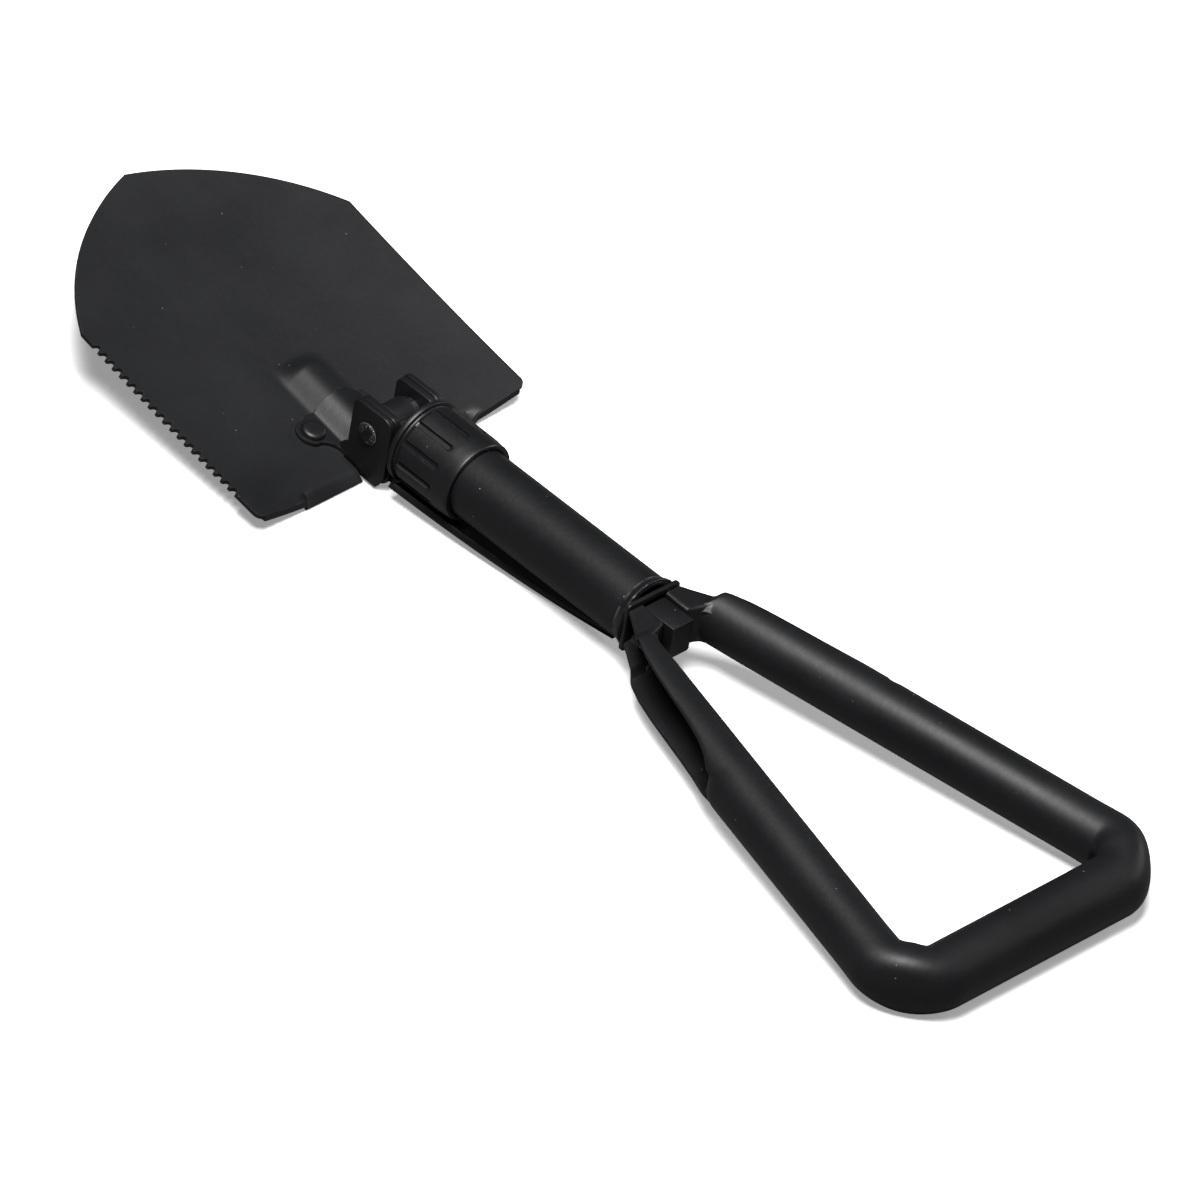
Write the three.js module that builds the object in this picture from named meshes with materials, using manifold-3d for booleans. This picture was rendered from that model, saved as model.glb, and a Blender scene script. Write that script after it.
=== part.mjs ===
// Folding camp shovel: blade, pick and D-grip hinged on a pull bar that runs
// through a steel shaft tube and is tightened by a fluted collar nut.
// Millimetres, +Z up, +X from the blade's tip to the grip. The tool lies on its back.
import * as THREE from 'three';
import { mergeVertices } from 'three/addons/utils/BufferGeometryUtils.js';
import Module from 'manifold-3d';

const wasm = await Module();
wasm.setup();

// ---------------------------------------------------------------- driving dimensions
// The shaft frame: X along the shaft with 0 at the end plate's outer face, Z = 0 on the axis.
const OVERALL_LENGTH = 572.8;
const AXIS_HEIGHT = 26;
const GAP = 0.3;

const GRIP = {
  barX: 229.5,
  barRadius: 14.2,
  armRadius: 13.2,
  wall: 1.5,
  bendRadius: 21,
  armStart: 21.7,
  armSlope: 0.221,
  startX: 0.5,
  squareFrom: 48,
  swellLength: 30,
  drainRadius: 2.6,
  drainFromBar: 45,
};
// The pressed ends of the arms: flat flanges at the pin, then a tube whose outer half is pushed in.
const PRESS = {
  halfHeight: 9.7,
  wallY: 6.6,
  flatTo: 12.5,
  tubeFrom: 17,
  fadeFrom: 76,
  fadeTo: 98,
  lipLine: [[0.5, 14.7], [16.3, 24.4], [37.7, 33.2], [65.3, 42.2], [78.8, 47.9], [98, 56.6]],
  floorLine: [[0.5, 9.6], [14.7, 9.6], [18, 14.6], [30, 19.5], [45, 26], [60, 33.5], [98, 56.6]],
  flange: 2,
};
const TIP_X = GRIP.barX + GRIP.barRadius - OVERALL_LENGTH;
const CENTRE_X = TIP_X + OVERALL_LENGTH / 2;

const BLADE = {
  rearX: -155,
  shoulderX: -269.3,
  halfWidth: 78.4,
  frontArcRadius: 127,
  thickness: 2,
  dish: 7.6,
  dishFade: 0.35,
  rearZ: -22.8,
  tipZ: 17.9,
  curl: 0.25,
  cornerRadius: 3.5,
  slotHalfWidth: 16.2,
  slotX: -168.5,
  notchY: 47.5,
  notchX: -160,
};
const RIB = { halfWidth: 13, height: 6.2, frontX: -221, domeLength: 12, flank: 1.06, fullness: 0.85 };
const LIP = { depth: 3.3, thickness: 2, bottom: -AXIS_HEIGHT };
const TEETH = { count: 20, firstX: -263.5, pitch: 4.65, depth: 2.7, flat: 1.5 };

const HINGE = { x: -157, pinRadius: 3.6, headRadius: 5.2, headHeight: 1.6 };
const PIN_CLEARANCE = 0.1;
// Half the length of a tool that cuts right through a piece.
const THROUGH = 60;
const CHEEK = { inner: 12.9, outer: 15.6, rear: 12, front: -11, top: 12.5, bottom: -24.5, round: 5 };
const SADDLE = { frontX: -192, rearX: -168, thickness: 1.6, lift: 0.35, halfWidth: 14.5 };
const EAR = { radius: 7.3, rivetRadius: 2.5, headRadius: 5.6, headHeight: 2.1 };
// Where each ear's rivet stands, and the arc of the ear's outline in degrees.
const EARS = {
  left: { side: -1, x: -184, y: 20.3, from: 35, to: 165, root: [[-172, 16.2], [-175, 18.2]] },
  right: { side: 1, x: -168.5, y: 25, from: -55, to: 205, root: [[-164.5, 17.6]] },
};
const PLATE = { inner: 9.3, outer: 12.6, half: 12, round: 4, lugRadius: 5 };
const KNUCKLE = { radius: 8.6, halfWidth: 6, washerStep: 1.4 };

const PICK = {
  pinX: -150,
  pinZ: -18.5,
  pinRadius: 2,
  lugInner: 6.5,
  lugOuter: 9,
  lugRadius: 4.4,
  innerRadius: 21.4,
  outerRadius: 24.4,
  rootX: -141,
  tipX: -18,
  rootHalfWidth: 14.5,
};

const COLLAR = {
  frontX: -141.4,
  rearX: -106,
  flangeRadius: 19.9,
  flangeLength: 2.8,
  neckRadius: 17.9,
  neckLength: 1.4,
  padRadius: 19.3,
  rearRadius: 18.9,
  mouthRadius: 17,
  threadRadius: 15.7,
  boreRadius: 16.4,
  flutes: 12,
  fluteRadius: 1.9,
  fluteDepth: 1.5,
  fluteEndX: -115.5,
};
// Turns the flutes about the axis, as a share of their spacing.
const FLUTE_PHASE = 0.5;
const RING = { frontX: -141, rearX: -138, outer: 16.7, inner: 11.2 };
const CLIP = { frontX: -137.6, rearX: -136.6, outer: 17.3, inner: 15.6, groove: 17.7, gap: 4 };
const SLEEVE = { frontX: -133, shoulderX: -112.3, rearX: -92, crest: 15.3, root: 14.6, bore: 12, pitch: 3 };
const TUBE = { radius: 16, wall: 1.5, frontX: -112, rearX: -2.3 };
const BAR = { half: 5, frontX: -148, rearX: -8.3 };
const BLOCK = { halfY: 5.95, halfZ: 8.3, frontX: -8, rearX: 18.4 };
const GUIDE = { radius: 14.2, length: 5, rearX: -18 };
const END_PLATE = { halfY: 15.4, halfZ: 12.4, thickness: 2, cornerRadius: 2 };
const FERRULE = { length: 4.4, crestLength: 1.6, radius: 17.2, toe: 0.3 };
const GRIP_PIN = {
  x: 10.2,
  radius: 2.5,
  headRadius: 4.4,
  bushRadius: 3.4,
  headY: 13.6,
  headThickness: 1.8,
  dimple: 0.55,
};
// The bar of the grip lies on the ground, so the loop droops a little from its pin.
const GRIP_DROOP = (AXIS_HEIGHT - GRIP.barRadius) / (GRIP.barX - GRIP_PIN.x);

// ---------------------------------------------------------------- finishes
const FINISH = {
  coat: { color: 0x1d1e20, roughness: 0.48, metalness: 0.35 },
  coatSmooth: { color: 0x17181a, roughness: 0.36, metalness: 0.35 },
  steel: { color: 0x8b8d90, roughness: 0.38, metalness: 0.95 },
  darkSteel: { color: 0x3a3b3d, roughness: 0.45, metalness: 0.85 },
  brass: { color: 0x9c8247, roughness: 0.42, metalness: 0.9 },
};

// ---------------------------------------------------------------- geometry helpers
const MERGE_TOLERANCE = 1e-4;

/** Drops everything but position, welds shared vertices and returns a solid facing out. */
function solid(geometry) {
  geometry.deleteAttribute('normal');
  geometry.deleteAttribute('uv');
  const welded = mergeVertices(geometry, MERGE_TOLERANCE);
  const vertProperties = Float32Array.from(welded.getAttribute('position').array);
  const corners = [];
  for (let i = 0; i < welded.index.count; i += 3) {
    const triangle = [0, 1, 2].map((k) => welded.index.getX(i + k));
    if (new Set(triangle).size === 3) corners.push(...triangle);
  }
  if (signedVolume(vertProperties, corners) < 0) corners.reverse();
  const triVerts = Uint32Array.from(corners);
  return new wasm.Manifold(new wasm.Mesh({ numProp: 3, vertProperties, triVerts }));
}

function signedVolume(positions, corners) {
  let total = 0;
  for (let i = 0; i < corners.length; i += 3) {
    const [a, b, c] = [0, 1, 2].map((k) => new THREE.Vector3().fromArray(positions, 3 * corners[i + k]));
    total += a.dot(b.cross(c)) / 6;
  }
  return total;
}

function box(x0, x1, y0, y1, z0, z1) {
  const geometry = new THREE.BoxGeometry(x1 - x0, y1 - y0, z1 - z0);
  return solid(geometry.translate((x0 + x1) / 2, (y0 + y1) / 2, (z0 + z1) / 2));
}

/** Extrudes a shape drawn in two axes along the third: 'x' takes (y, z), 'y' (x, z), 'z' (x, y). */
function prism(shape, along, from, to, curveSegments = 4) {
  const geometry = new THREE.ExtrudeGeometry(shape, { depth: to - from, bevelEnabled: false, curveSegments });
  const basis = {
    x: [[0, 1, 0], [0, 0, 1], [1, 0, 0]],
    y: [[1, 0, 0], [0, 0, 1], [0, -1, 0]],
    z: [[1, 0, 0], [0, 1, 0], [0, 0, 1]],
  }[along].map((column) => new THREE.Vector3(...column));
  geometry.applyMatrix4(new THREE.Matrix4().makeBasis(...basis));
  const start = basis[2].multiplyScalar(along === 'y' ? -to : from);
  return solid(geometry.translate(start.x, start.y, start.z));
}

/** A round rod along an axis, centred on (u, v) in the other two axes in X, Y, Z order. */
function rod(along, radius, from, to, u = 0, v = 0, segments = 9) {
  const circle = new THREE.Shape();
  circle.absarc(u, v, radius, 0, 2 * Math.PI);
  return prism(circle, along, from, to, segments);
}

/** The bore for a cross pin, right through along Y. */
function pinBore(radius, x, z = 0) {
  return rod('y', radius + PIN_CLEARANCE, -THROUGH, THROUGH, x, z);
}

/** Turns a closed [x, radius] profile about the shaft's axis. */
function turned(profile, segments = 32) {
  const points = profile.map(([x, radius]) => new THREE.Vector2(radius, x));
  points.push(points[0].clone());
  const geometry = new THREE.LatheGeometry(points, segments);
  const axes = [[0, 1, 0], [1, 0, 0], [0, 0, -1]].map((column) => new THREE.Vector3(...column));
  return solid(geometry.applyMatrix4(new THREE.Matrix4().makeBasis(...axes)));
}

function roundedRectangle(u0, u1, v0, v1, radius) {
  const shape = new THREE.Shape();
  shape.absarc(u1 - radius, v1 - radius, radius, 0, Math.PI / 2);
  shape.absarc(u0 + radius, v1 - radius, radius, Math.PI / 2, Math.PI);
  shape.absarc(u0 + radius, v0 + radius, radius, Math.PI, 1.5 * Math.PI);
  shape.absarc(u1 - radius, v0 + radius, radius, 1.5 * Math.PI, 2 * Math.PI);
  shape.closePath();
  return shape;
}

function joined(...bodies) {
  return bodies.reduce((total, body) => total.add(body));
}

const tool = new THREE.Group();
tool.position.set(-CENTRE_X, 0, AXIS_HEIGHT);

/** Adds one named piece to the tool. */
function piece(name, body, finish) {
  const mesh = body.getMesh();
  const geometry = new THREE.BufferGeometry();
  geometry.setAttribute('position', new THREE.BufferAttribute(mesh.vertProperties, 3));
  geometry.setIndex(new THREE.BufferAttribute(mesh.triVerts, 1));
  geometry.computeVertexNormals();
  const node = new THREE.Mesh(geometry, new THREE.MeshStandardMaterial(finish));
  node.name = name;
  tool.add(node);
}

const SIDES = [['left', -1], ['right', 1]];

/** Orders a span mirrored to one side: the near and far limits times the side's sign. */
function span(side, near, far) {
  return side > 0 ? [near, far] : [-far, -near];
}

// ---------------------------------------------------------------- the blade's surface
function smooth(t) {
  const clamped = Math.min(1, Math.max(0, t));
  return clamped * clamped * (3 - 2 * clamped);
}

/** Height of the pressed rib: a rounded ridge with soft sides and a domed front end. */
function ribHeight(x, y) {
  const across = smooth(RIB.flank * (1 - Math.abs(y) / RIB.halfWidth)) ** RIB.fullness;
  const along = smooth((x - RIB.frontX) / RIB.domeLength);
  return RIB.height * across * along;
}

/** Top surface of the blade: dished across, curling up towards the tip, with the rib. */
function bladeTop(x, y) {
  const t = (BLADE.rearX - x) / (BLADE.rearX - TIP_X);
  const centre = BLADE.rearZ + (BLADE.tipZ - BLADE.rearZ) * ((1 - BLADE.curl) * t + BLADE.curl * t * t);
  const dish = BLADE.dish * (y / BLADE.halfWidth) ** 2 * (1 - BLADE.dishFade * t);
  return centre + dish + ribHeight(x, y);
}

const SHEET = { x0: TIP_X - 6, x1: BLADE.rearX + 4, halfY: BLADE.halfWidth + 3, columns: 24, rows: 20 };

/** A slab that follows the blade's surface between two vertical offsets. */
function slab(low, high) {
  const { x0, x1, halfY, columns, rows } = SHEET;
  const geometry = new THREE.BoxGeometry(x1 - x0, 2, 2, columns, rows, 1);
  geometry.translate((x0 + x1) / 2, 0, 0);
  const position = geometry.getAttribute('position');
  for (let i = 0; i < position.count; i += 1) {
    const x = position.getX(i);
    const u = position.getY(i);
    const y = halfY * (0.42 * u + 0.58 * u ** 3);
    position.setY(i, y);
    position.setZ(i, bladeTop(x, y) + (position.getZ(i) > 0 ? high : low));
  }
  return solid(geometry);
}

function bladeOutline() {
  const { rearX, shoulderX, halfWidth, frontArcRadius, cornerRadius } = BLADE;
  const chord = new THREE.Vector2(TIP_X - shoulderX, -halfWidth);
  const half = chord.length() / 2;
  const inward = new THREE.Vector2(-chord.y, chord.x).normalize().negate();
  const toCentre = inward.multiplyScalar(-Math.sqrt(frontArcRadius ** 2 - half ** 2));
  const centre = new THREE.Vector2(shoulderX + chord.x / 2, halfWidth + chord.y / 2).add(toCentre);
  const shoulderAngle = Math.atan2(halfWidth - centre.y, shoulderX - centre.x);
  const tipAngle = Math.atan2(-centre.y, TIP_X - centre.x);
  const shape = new THREE.Shape();
  shape.moveTo(rearX, 0);
  shape.lineTo(rearX, halfWidth - cornerRadius);
  shape.absarc(rearX - cornerRadius, halfWidth - cornerRadius, cornerRadius, 0, Math.PI / 2);
  shape.absarc(centre.x, centre.y, frontArcRadius, shoulderAngle, tipAngle + 2 * Math.PI * (tipAngle < 0));
  shape.absarc(centre.x, -centre.y, frontArcRadius, -tipAngle, -shoulderAngle);
  for (let i = 0; i < TEETH.count; i += 1) addTooth(shape, TEETH.firstX + i * TEETH.pitch);
  shape.absarc(rearX - cornerRadius, cornerRadius - halfWidth, cornerRadius, -Math.PI / 2, 0);
  shape.closePath();
  return shape;
}

/** One saw tooth on the left side: a short flat, then a rounded gullet. */
function addTooth(shape, x) {
  const edge = -BLADE.halfWidth;
  const gullet = TEETH.pitch - TEETH.flat;
  shape.lineTo(x, edge);
  shape.lineTo(x + TEETH.flat, edge);
  shape.lineTo(x + TEETH.flat + 0.15 * gullet, edge + 0.75 * TEETH.depth);
  shape.lineTo(x + TEETH.flat + 0.45 * gullet, edge + TEETH.depth);
  shape.lineTo(x + TEETH.flat + 0.75 * gullet, edge + 0.6 * TEETH.depth);
}

/** A rivet-axis frame that stands square on the blade's surface beside the rib. */
function earFrame(ear) {
  const step = 1;
  const y = ear.side * ear.y;
  const slopeX = (bladeTop(ear.x + step, y) - bladeTop(ear.x - step, y)) / (2 * step);
  const slopeY = (bladeTop(ear.x, y + step) - bladeTop(ear.x, y - step)) / (2 * step);
  const normal = new THREE.Vector3(-slopeX, -slopeY, 1).normalize();
  const turn = new THREE.Quaternion().setFromUnitVectors(new THREE.Vector3(0, 0, 1), normal);
  const place = new THREE.Vector3(ear.x, y, bladeTop(ear.x, y));
  return new THREE.Matrix4().compose(place, turn, new THREE.Vector3(1, 1, 1));
}

/** A turned piece standing on the ear's frame, from a closed [radius, height] profile. */
function onEar(ear, profile) {
  const points = profile.map(([radius, height]) => new THREE.Vector2(radius, height));
  const geometry = new THREE.LatheGeometry(points, 16);
  return solid(geometry.rotateX(Math.PI / 2).applyMatrix4(earFrame(ear)));
}

function earHole(ear) {
  const radius = EAR.rivetRadius + GAP;
  const reach = EAR.radius;
  return onEar(ear, [[0, -reach], [radius, -reach], [radius, reach], [0, reach]]);
}

/** The outer third of the rear edge, folded straight down. */
function foldedLip(side) {
  const { rearX, halfWidth, notchY, cornerRadius } = BLADE;
  const endY = halfWidth - cornerRadius;
  const [nearTop, farTop] = [bladeTop(rearX, notchY), bladeTop(rearX, endY)];
  const half = LIP.thickness / 2;
  const section = new THREE.Shape([
    new THREE.Vector2(notchY, nearTop - half),
    new THREE.Vector2(endY, farTop - half),
    new THREE.Vector2(endY, farTop - LIP.depth - half),
    new THREE.Vector2(notchY, nearTop - LIP.depth - half),
  ]);
  const lip = prism(section, 'x', rearX - LIP.thickness, rearX);
  return side > 0 ? lip : mirrored(lip);
}

/** The inner third of the rear edge, sloped down to the ground as a boot tread. */
function tread(side) {
  const { rearX, slotHalfWidth, notchY, notchX } = BLADE;
  const top = bladeTop(notchX, notchY);
  const section = new THREE.Shape([
    new THREE.Vector2(notchX - 1, top - 1.2),
    new THREE.Vector2(notchX + 0.5, top - 0.4),
    new THREE.Vector2(rearX + 1, LIP.bottom + 1.4),
    new THREE.Vector2(rearX, LIP.bottom),
    new THREE.Vector2(rearX - 1.6, LIP.bottom + 0.4),
  ]);
  return prism(section, 'y', ...span(side, slotHalfWidth, notchY));
}

/** Mirrors a body in Y by flipping its vertices and its winding. */
function mirrored(body) {
  const mesh = body.getMesh();
  const geometry = new THREE.BufferGeometry();
  const flipped = mesh.vertProperties.map((value, i) => (i % 3 === 1 ? -value : value));
  geometry.setAttribute('position', new THREE.BufferAttribute(flipped, 3));
  geometry.setIndex(new THREE.BufferAttribute(mesh.triVerts, 1));
  return solid(geometry);
}

function buildBlade() {
  const { slotHalfWidth, slotX, notchY, notchX } = BLADE;
  const behind = BLADE.rearX + 5;
  let body = slab(-BLADE.thickness, 0).intersect(prism(bladeOutline(), 'z', -THROUGH, THROUGH, 16));
  body = body.subtract(box(slotX, behind, -slotHalfWidth, slotHalfWidth, -THROUGH, THROUGH));
  for (const [name, side] of SIDES) {
    const notch = box(notchX, behind, ...span(side, slotHalfWidth - 1, notchY), -THROUGH, THROUGH);
    body = joined(body.subtract(notch), foldedLip(side), tread(side)).subtract(earHole(EARS[name]));
  }
  piece('blade', body, FINISH.coat);
}

// ---------------------------------------------------------------- bracket and its rivets
/** Half of the saddle's outline in plan, from its rear round the ear to its front. */
function saddleHalf(ear) {
  const { frontX, rearX, halfWidth } = SADDLE;
  const outline = [[rearX, CHEEK.outer], ...ear.root];
  const steps = 11;
  for (let i = 0; i <= steps; i += 1) {
    const angle = THREE.MathUtils.degToRad(THREE.MathUtils.lerp(ear.from, ear.to, i / steps));
    outline.push([ear.x + EAR.radius * Math.cos(angle), ear.y + EAR.radius * Math.sin(angle)]);
  }
  outline.push([frontX, halfWidth]);
  return outline.map(([x, y]) => new THREE.Vector2(x, ear.side * y));
}

/** A hinge cheek: a plate with three straight flanks, rounded at the two free corners. */
function cheekProfile() {
  const { rear, front, top, bottom, round } = CHEEK;
  const foot = front - 4;
  const shape = new THREE.Shape();
  shape.moveTo(HINGE.x + rear - 4, bottom);
  shape.lineTo(HINGE.x + rear, bottom + 7);
  shape.absarc(HINGE.x + rear - round, top - round, round, 0, Math.PI / 2);
  shape.absarc(HINGE.x + front + round, top - round, round, Math.PI / 2, Math.PI);
  shape.lineTo(HINGE.x + front, -12);
  shape.lineTo(HINGE.x + foot, -15);
  shape.lineTo(HINGE.x + foot, bottom + 1);
  shape.closePath();
  return shape;
}

function buildBracket() {
  const { thickness, lift } = SADDLE;
  const plan = new THREE.Shape([...saddleHalf(EARS.left), ...saddleHalf(EARS.right).reverse()]);
  let body = slab(lift, lift + thickness).intersect(prism(plan, 'z', -THROUGH, THROUGH));
  const front = box(RIB.frontX, BLADE.slotX + GAP, -THROUGH, THROUGH, -THROUGH, THROUGH);
  const clearance = slab(-THROUGH, lift).intersect(front);
  for (const [name, side] of SIDES) {
    const cheek = prism(cheekProfile(), 'y', ...span(side, CHEEK.inner, CHEEK.outer));
    body = joined(body, cheek.subtract(clearance)).subtract(earHole(EARS[name]));
  }
  piece('blade_bracket', body.subtract(pinBore(HINGE.pinRadius, HINGE.x)), FINISH.coat);
}

function buildBracketRivets() {
  const { rivetRadius, headRadius, headHeight } = EAR;
  const seat = SADDLE.lift + SADDLE.thickness + GAP;
  const under = -BLADE.thickness - GAP;
  const tailHeight = headHeight - 0.5;
  const profile = [
    [0, under - tailHeight], [headRadius - 1.4, under - tailHeight], [headRadius - 0.7, under],
    [rivetRadius, under], [rivetRadius, seat], [headRadius, seat], [headRadius, seat + 0.6 * headHeight],
    [headRadius - 1.1, seat + headHeight], [0, seat + headHeight],
  ];
  for (const [name, ear] of Object.entries(EARS)) {
    piece(`bracket_rivet_${name}`, onEar(ear, profile), FINISH.coatSmooth);
  }
}

// ---------------------------------------------------------------- hinge core on the pull bar
function hingePlateProfile() {
  const { half, round, lugRadius } = PLATE;
  const shape = new THREE.Shape();
  shape.absarc(HINGE.x + half - round, half + 0.3 - round, round, 0, Math.PI / 2);
  shape.absarc(HINGE.x - half + 1 + round, half + 0.3 - round, round, Math.PI / 2, Math.PI);
  shape.absarc(HINGE.x - half + 1 + round, -half + round, round, Math.PI, 1.4 * Math.PI);
  shape.absarc(PICK.pinX, PICK.pinZ, lugRadius, 1.1 * Math.PI, 2 * Math.PI);
  shape.closePath();
  return shape;
}

function buildHingeCore() {
  const hingeBore = pinBore(HINGE.pinRadius, HINGE.x);
  const pickBore = pinBore(PICK.pinRadius, PICK.pinX, PICK.pinZ);
  const washerSpan = [KNUCKLE.halfWidth + GAP, PLATE.inner - GAP];
  for (const [name, side] of SIDES) {
    const plate = prism(hingePlateProfile(), 'y', ...span(side, PLATE.inner, PLATE.outer));
    piece(`hinge_plate_${name}`, plate.subtract(hingeBore).subtract(pickBore), FINISH.coat);
    const washer = rod('y', KNUCKLE.radius - KNUCKLE.washerStep, ...span(side, ...washerSpan), HINGE.x);
    piece(`hinge_spacer_${name}`, washer.subtract(hingeBore), FINISH.steel);
  }
  const eye = rod('y', KNUCKLE.radius, -KNUCKLE.halfWidth, KNUCKLE.halfWidth, HINGE.x);
  const neck = box(HINGE.x, BAR.frontX - GAP, -BAR.half, BAR.half, -BAR.half, BAR.half);
  piece('bar_knuckle', joined(eye, neck).subtract(hingeBore), FINISH.darkSteel);
  buildPin('hinge_pin', HINGE, { x: HINGE.x, z: 0, reach: CHEEK.outer + GAP });
  const pickPin = { pinRadius: PICK.pinRadius, headRadius: 0, headHeight: 0 };
  buildPin('pick_pin', pickPin, { x: PICK.pinX, z: PICK.pinZ, reach: PLATE.outer });
}

/** A cross pin along Y, with a domed head at each end when headRadius is given. */
function buildPin(name, { pinRadius, headRadius, headHeight }, { x, z, reach }) {
  let body = rod('y', pinRadius, -reach, reach, x, z);
  for (const [, side] of SIDES) {
    if (headRadius > 0) {
      body = joined(body, rod('y', headRadius, ...span(side, reach, reach + 0.6 * headHeight), x, z));
      body = joined(body, rod('y', 0.7 * headRadius, ...span(side, reach, reach + headHeight), x, z));
    }
  }
  piece(name, body, FINISH.coatSmooth);
}

// ---------------------------------------------------------------- pick
function buildPick() {
  const { rootX, tipX, rootHalfWidth, innerRadius, outerRadius, lugInner, lugOuter, lugRadius } = PICK;
  const ring = [[rootX, innerRadius], [tipX, innerRadius], [tipX, outerRadius], [rootX, outerRadius]];
  const trough = turned(ring, 36);
  const plan = new THREE.Shape();
  plan.moveTo(rootX, -rootHalfWidth);
  plan.lineTo(rootX, rootHalfWidth);
  plan.quadraticCurveTo((rootX + tipX) / 2, 0.72 * rootHalfWidth, tipX, 0.4);
  plan.lineTo(tipX, -0.4);
  plan.quadraticCurveTo((rootX + tipX) / 2, -0.72 * rootHalfWidth, rootX, -rootHalfWidth);
  let body = trough.intersect(prism(plan, 'z', -40, -4));
  const lug = new THREE.Shape();
  lug.absarc(PICK.pinX, PICK.pinZ, lugRadius, 0.45 * Math.PI, 1.5 * Math.PI);
  lug.lineTo(rootX + 3, -outerRadius + 1.1);
  lug.lineTo(rootX + 3, -innerRadius + 0.9);
  lug.closePath();
  for (const [, side] of SIDES) body = joined(body, prism(lug, 'y', ...span(side, lugInner, lugOuter)));
  const bore = pinBore(PICK.pinRadius, PICK.pinX, PICK.pinZ);
  piece('pick', body.subtract(bore), FINISH.coat);
}

// ---------------------------------------------------------------- collar and thread
function collarProfile() {
  const c = COLLAR;
  const flangeEnd = c.frontX + c.flangeLength;
  const padStart = flangeEnd + c.neckLength;
  const threadEnd = SLEEVE.shoulderX - 5;
  const [grooveFront, grooveRear] = [CLIP.frontX - GAP, CLIP.rearX + GAP];
  return [
    [c.frontX, c.mouthRadius], [c.frontX, c.flangeRadius - 0.6], [c.frontX + 0.6, c.flangeRadius],
    [flangeEnd, c.flangeRadius], [flangeEnd, c.neckRadius], [padStart, c.neckRadius],
    [padStart, c.padRadius - 0.5], [padStart + 0.8, c.padRadius], [c.fluteEndX + 2, c.padRadius],
    [c.rearX - 3, c.rearRadius], [c.rearX, c.rearRadius - 0.9], [c.rearX, c.boreRadius],
    [threadEnd, c.boreRadius], [threadEnd, c.threadRadius],
    [CLIP.rearX + 2.4, c.threadRadius], [CLIP.rearX + 0.6, c.mouthRadius],
    [grooveRear, c.mouthRadius], [grooveRear, CLIP.groove],
    [grooveFront, CLIP.groove], [grooveFront, c.mouthRadius],
  ];
}

function buildCollar() {
  const { frontX, flangeLength, flutes, padRadius, fluteRadius, fluteDepth, fluteEndX } = COLLAR;
  let body = turned(collarProfile(), 36);
  const startX = frontX + flangeLength - 0.1;
  const centre = padRadius + fluteRadius - fluteDepth;
  for (let i = 0; i < flutes; i += 1) {
    const angle = (2 * Math.PI * (i + FLUTE_PHASE)) / flutes;
    const [y, z] = [centre * Math.cos(angle), centre * Math.sin(angle)];
    body = body.subtract(rod('x', fluteRadius, startX, fluteEndX, y, z, 4));
  }
  piece('collar_nut', body, FINISH.coatSmooth);
  piece('thrust_ring', turned([
    [RING.frontX, RING.inner], [RING.frontX, RING.outer], [RING.rearX, RING.outer], [RING.rearX, RING.inner],
  ]), FINISH.steel);
  const clip = turned([
    [CLIP.frontX, CLIP.inner], [CLIP.frontX, CLIP.outer], [CLIP.rearX, CLIP.outer], [CLIP.rearX, CLIP.inner],
  ]);
  const opening = box(CLIP.frontX - 1, CLIP.rearX + 1, -CLIP.gap / 2, CLIP.gap / 2, -THROUGH, 0);
  piece('collar_clip', clip.subtract(opening), FINISH.darkSteel);
}

function buildSleeve() {
  const { frontX, shoulderX, rearX, crest, root, bore, pitch } = SLEEVE;
  const profile = [[frontX, bore], [frontX, root]];
  for (let x = frontX + 1; x + pitch / 2 < shoulderX; x += pitch) {
    profile.push([x, root], [x + 0.5 * pitch, crest]);
  }
  const inTube = TUBE.radius - TUBE.wall - GAP;
  profile.push([shoulderX, root], [shoulderX, inTube], [rearX, inTube], [rearX, bore]);
  piece('threaded_sleeve', turned(profile), FINISH.steel);
}

// ---------------------------------------------------------------- shaft and pull bar
function buildShaft() {
  const { frontX, rearX, radius, wall } = TUBE;
  const inner = radius - wall;
  const tube = turned([[frontX, inner], [frontX, radius], [rearX, radius], [rearX, inner]], 40);
  piece('shaft_tube', tube, FINISH.coatSmooth);
  const { halfY, halfZ, thickness, cornerRadius } = END_PLATE;
  const outline = roundedRectangle(-halfY, halfY, -halfZ, halfZ, cornerRadius);
  const [windowY, windowZ] = [BLOCK.halfY + GAP, BLOCK.halfZ + GAP];
  const window = box(-THROUGH, THROUGH, -windowY, windowY, -windowZ, windowZ);
  piece('end_plate', prism(outline, 'x', -thickness, 0, 6).subtract(window), FINISH.coat);
  const seat = radius + GAP;
  const weldFront = rearX - FERRULE.length;
  piece('end_ferrule', turned([
    [weldFront, seat], [weldFront, seat + FERRULE.toe], [rearX - FERRULE.crestLength, FERRULE.radius],
    [rearX, FERRULE.radius], [rearX, seat],
  ], 40), FINISH.coatSmooth);
  const hole = BAR.half + GAP;
  const barWindow = box(-2 * THROUGH, THROUGH, -hole, hole, -hole, hole);
  for (const [name, x] of [['front', SLEEVE.rearX + GAP], ['rear', GUIDE.rearX]]) {
    const disc = rod('x', GUIDE.radius, x, x + GUIDE.length);
    piece(`bar_guide_${name}`, disc.subtract(barWindow), FINISH.brass);
  }
}

function buildPullBar() {
  const { half, frontX, rearX } = BAR;
  piece('pull_bar', box(frontX, rearX, -half, half, -half, half), FINISH.steel);
  const { halfY, halfZ } = BLOCK;
  const block = box(BLOCK.frontX, BLOCK.rearX, -halfY, halfY, -halfZ, halfZ);
  piece('tail_block', block.subtract(pinBore(GRIP_PIN.radius, GRIP_PIN.x)), FINISH.coat);
}

// ---------------------------------------------------------------- D-grip
function armY(x) {
  return GRIP.armStart + GRIP.armSlope * x;
}

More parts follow.
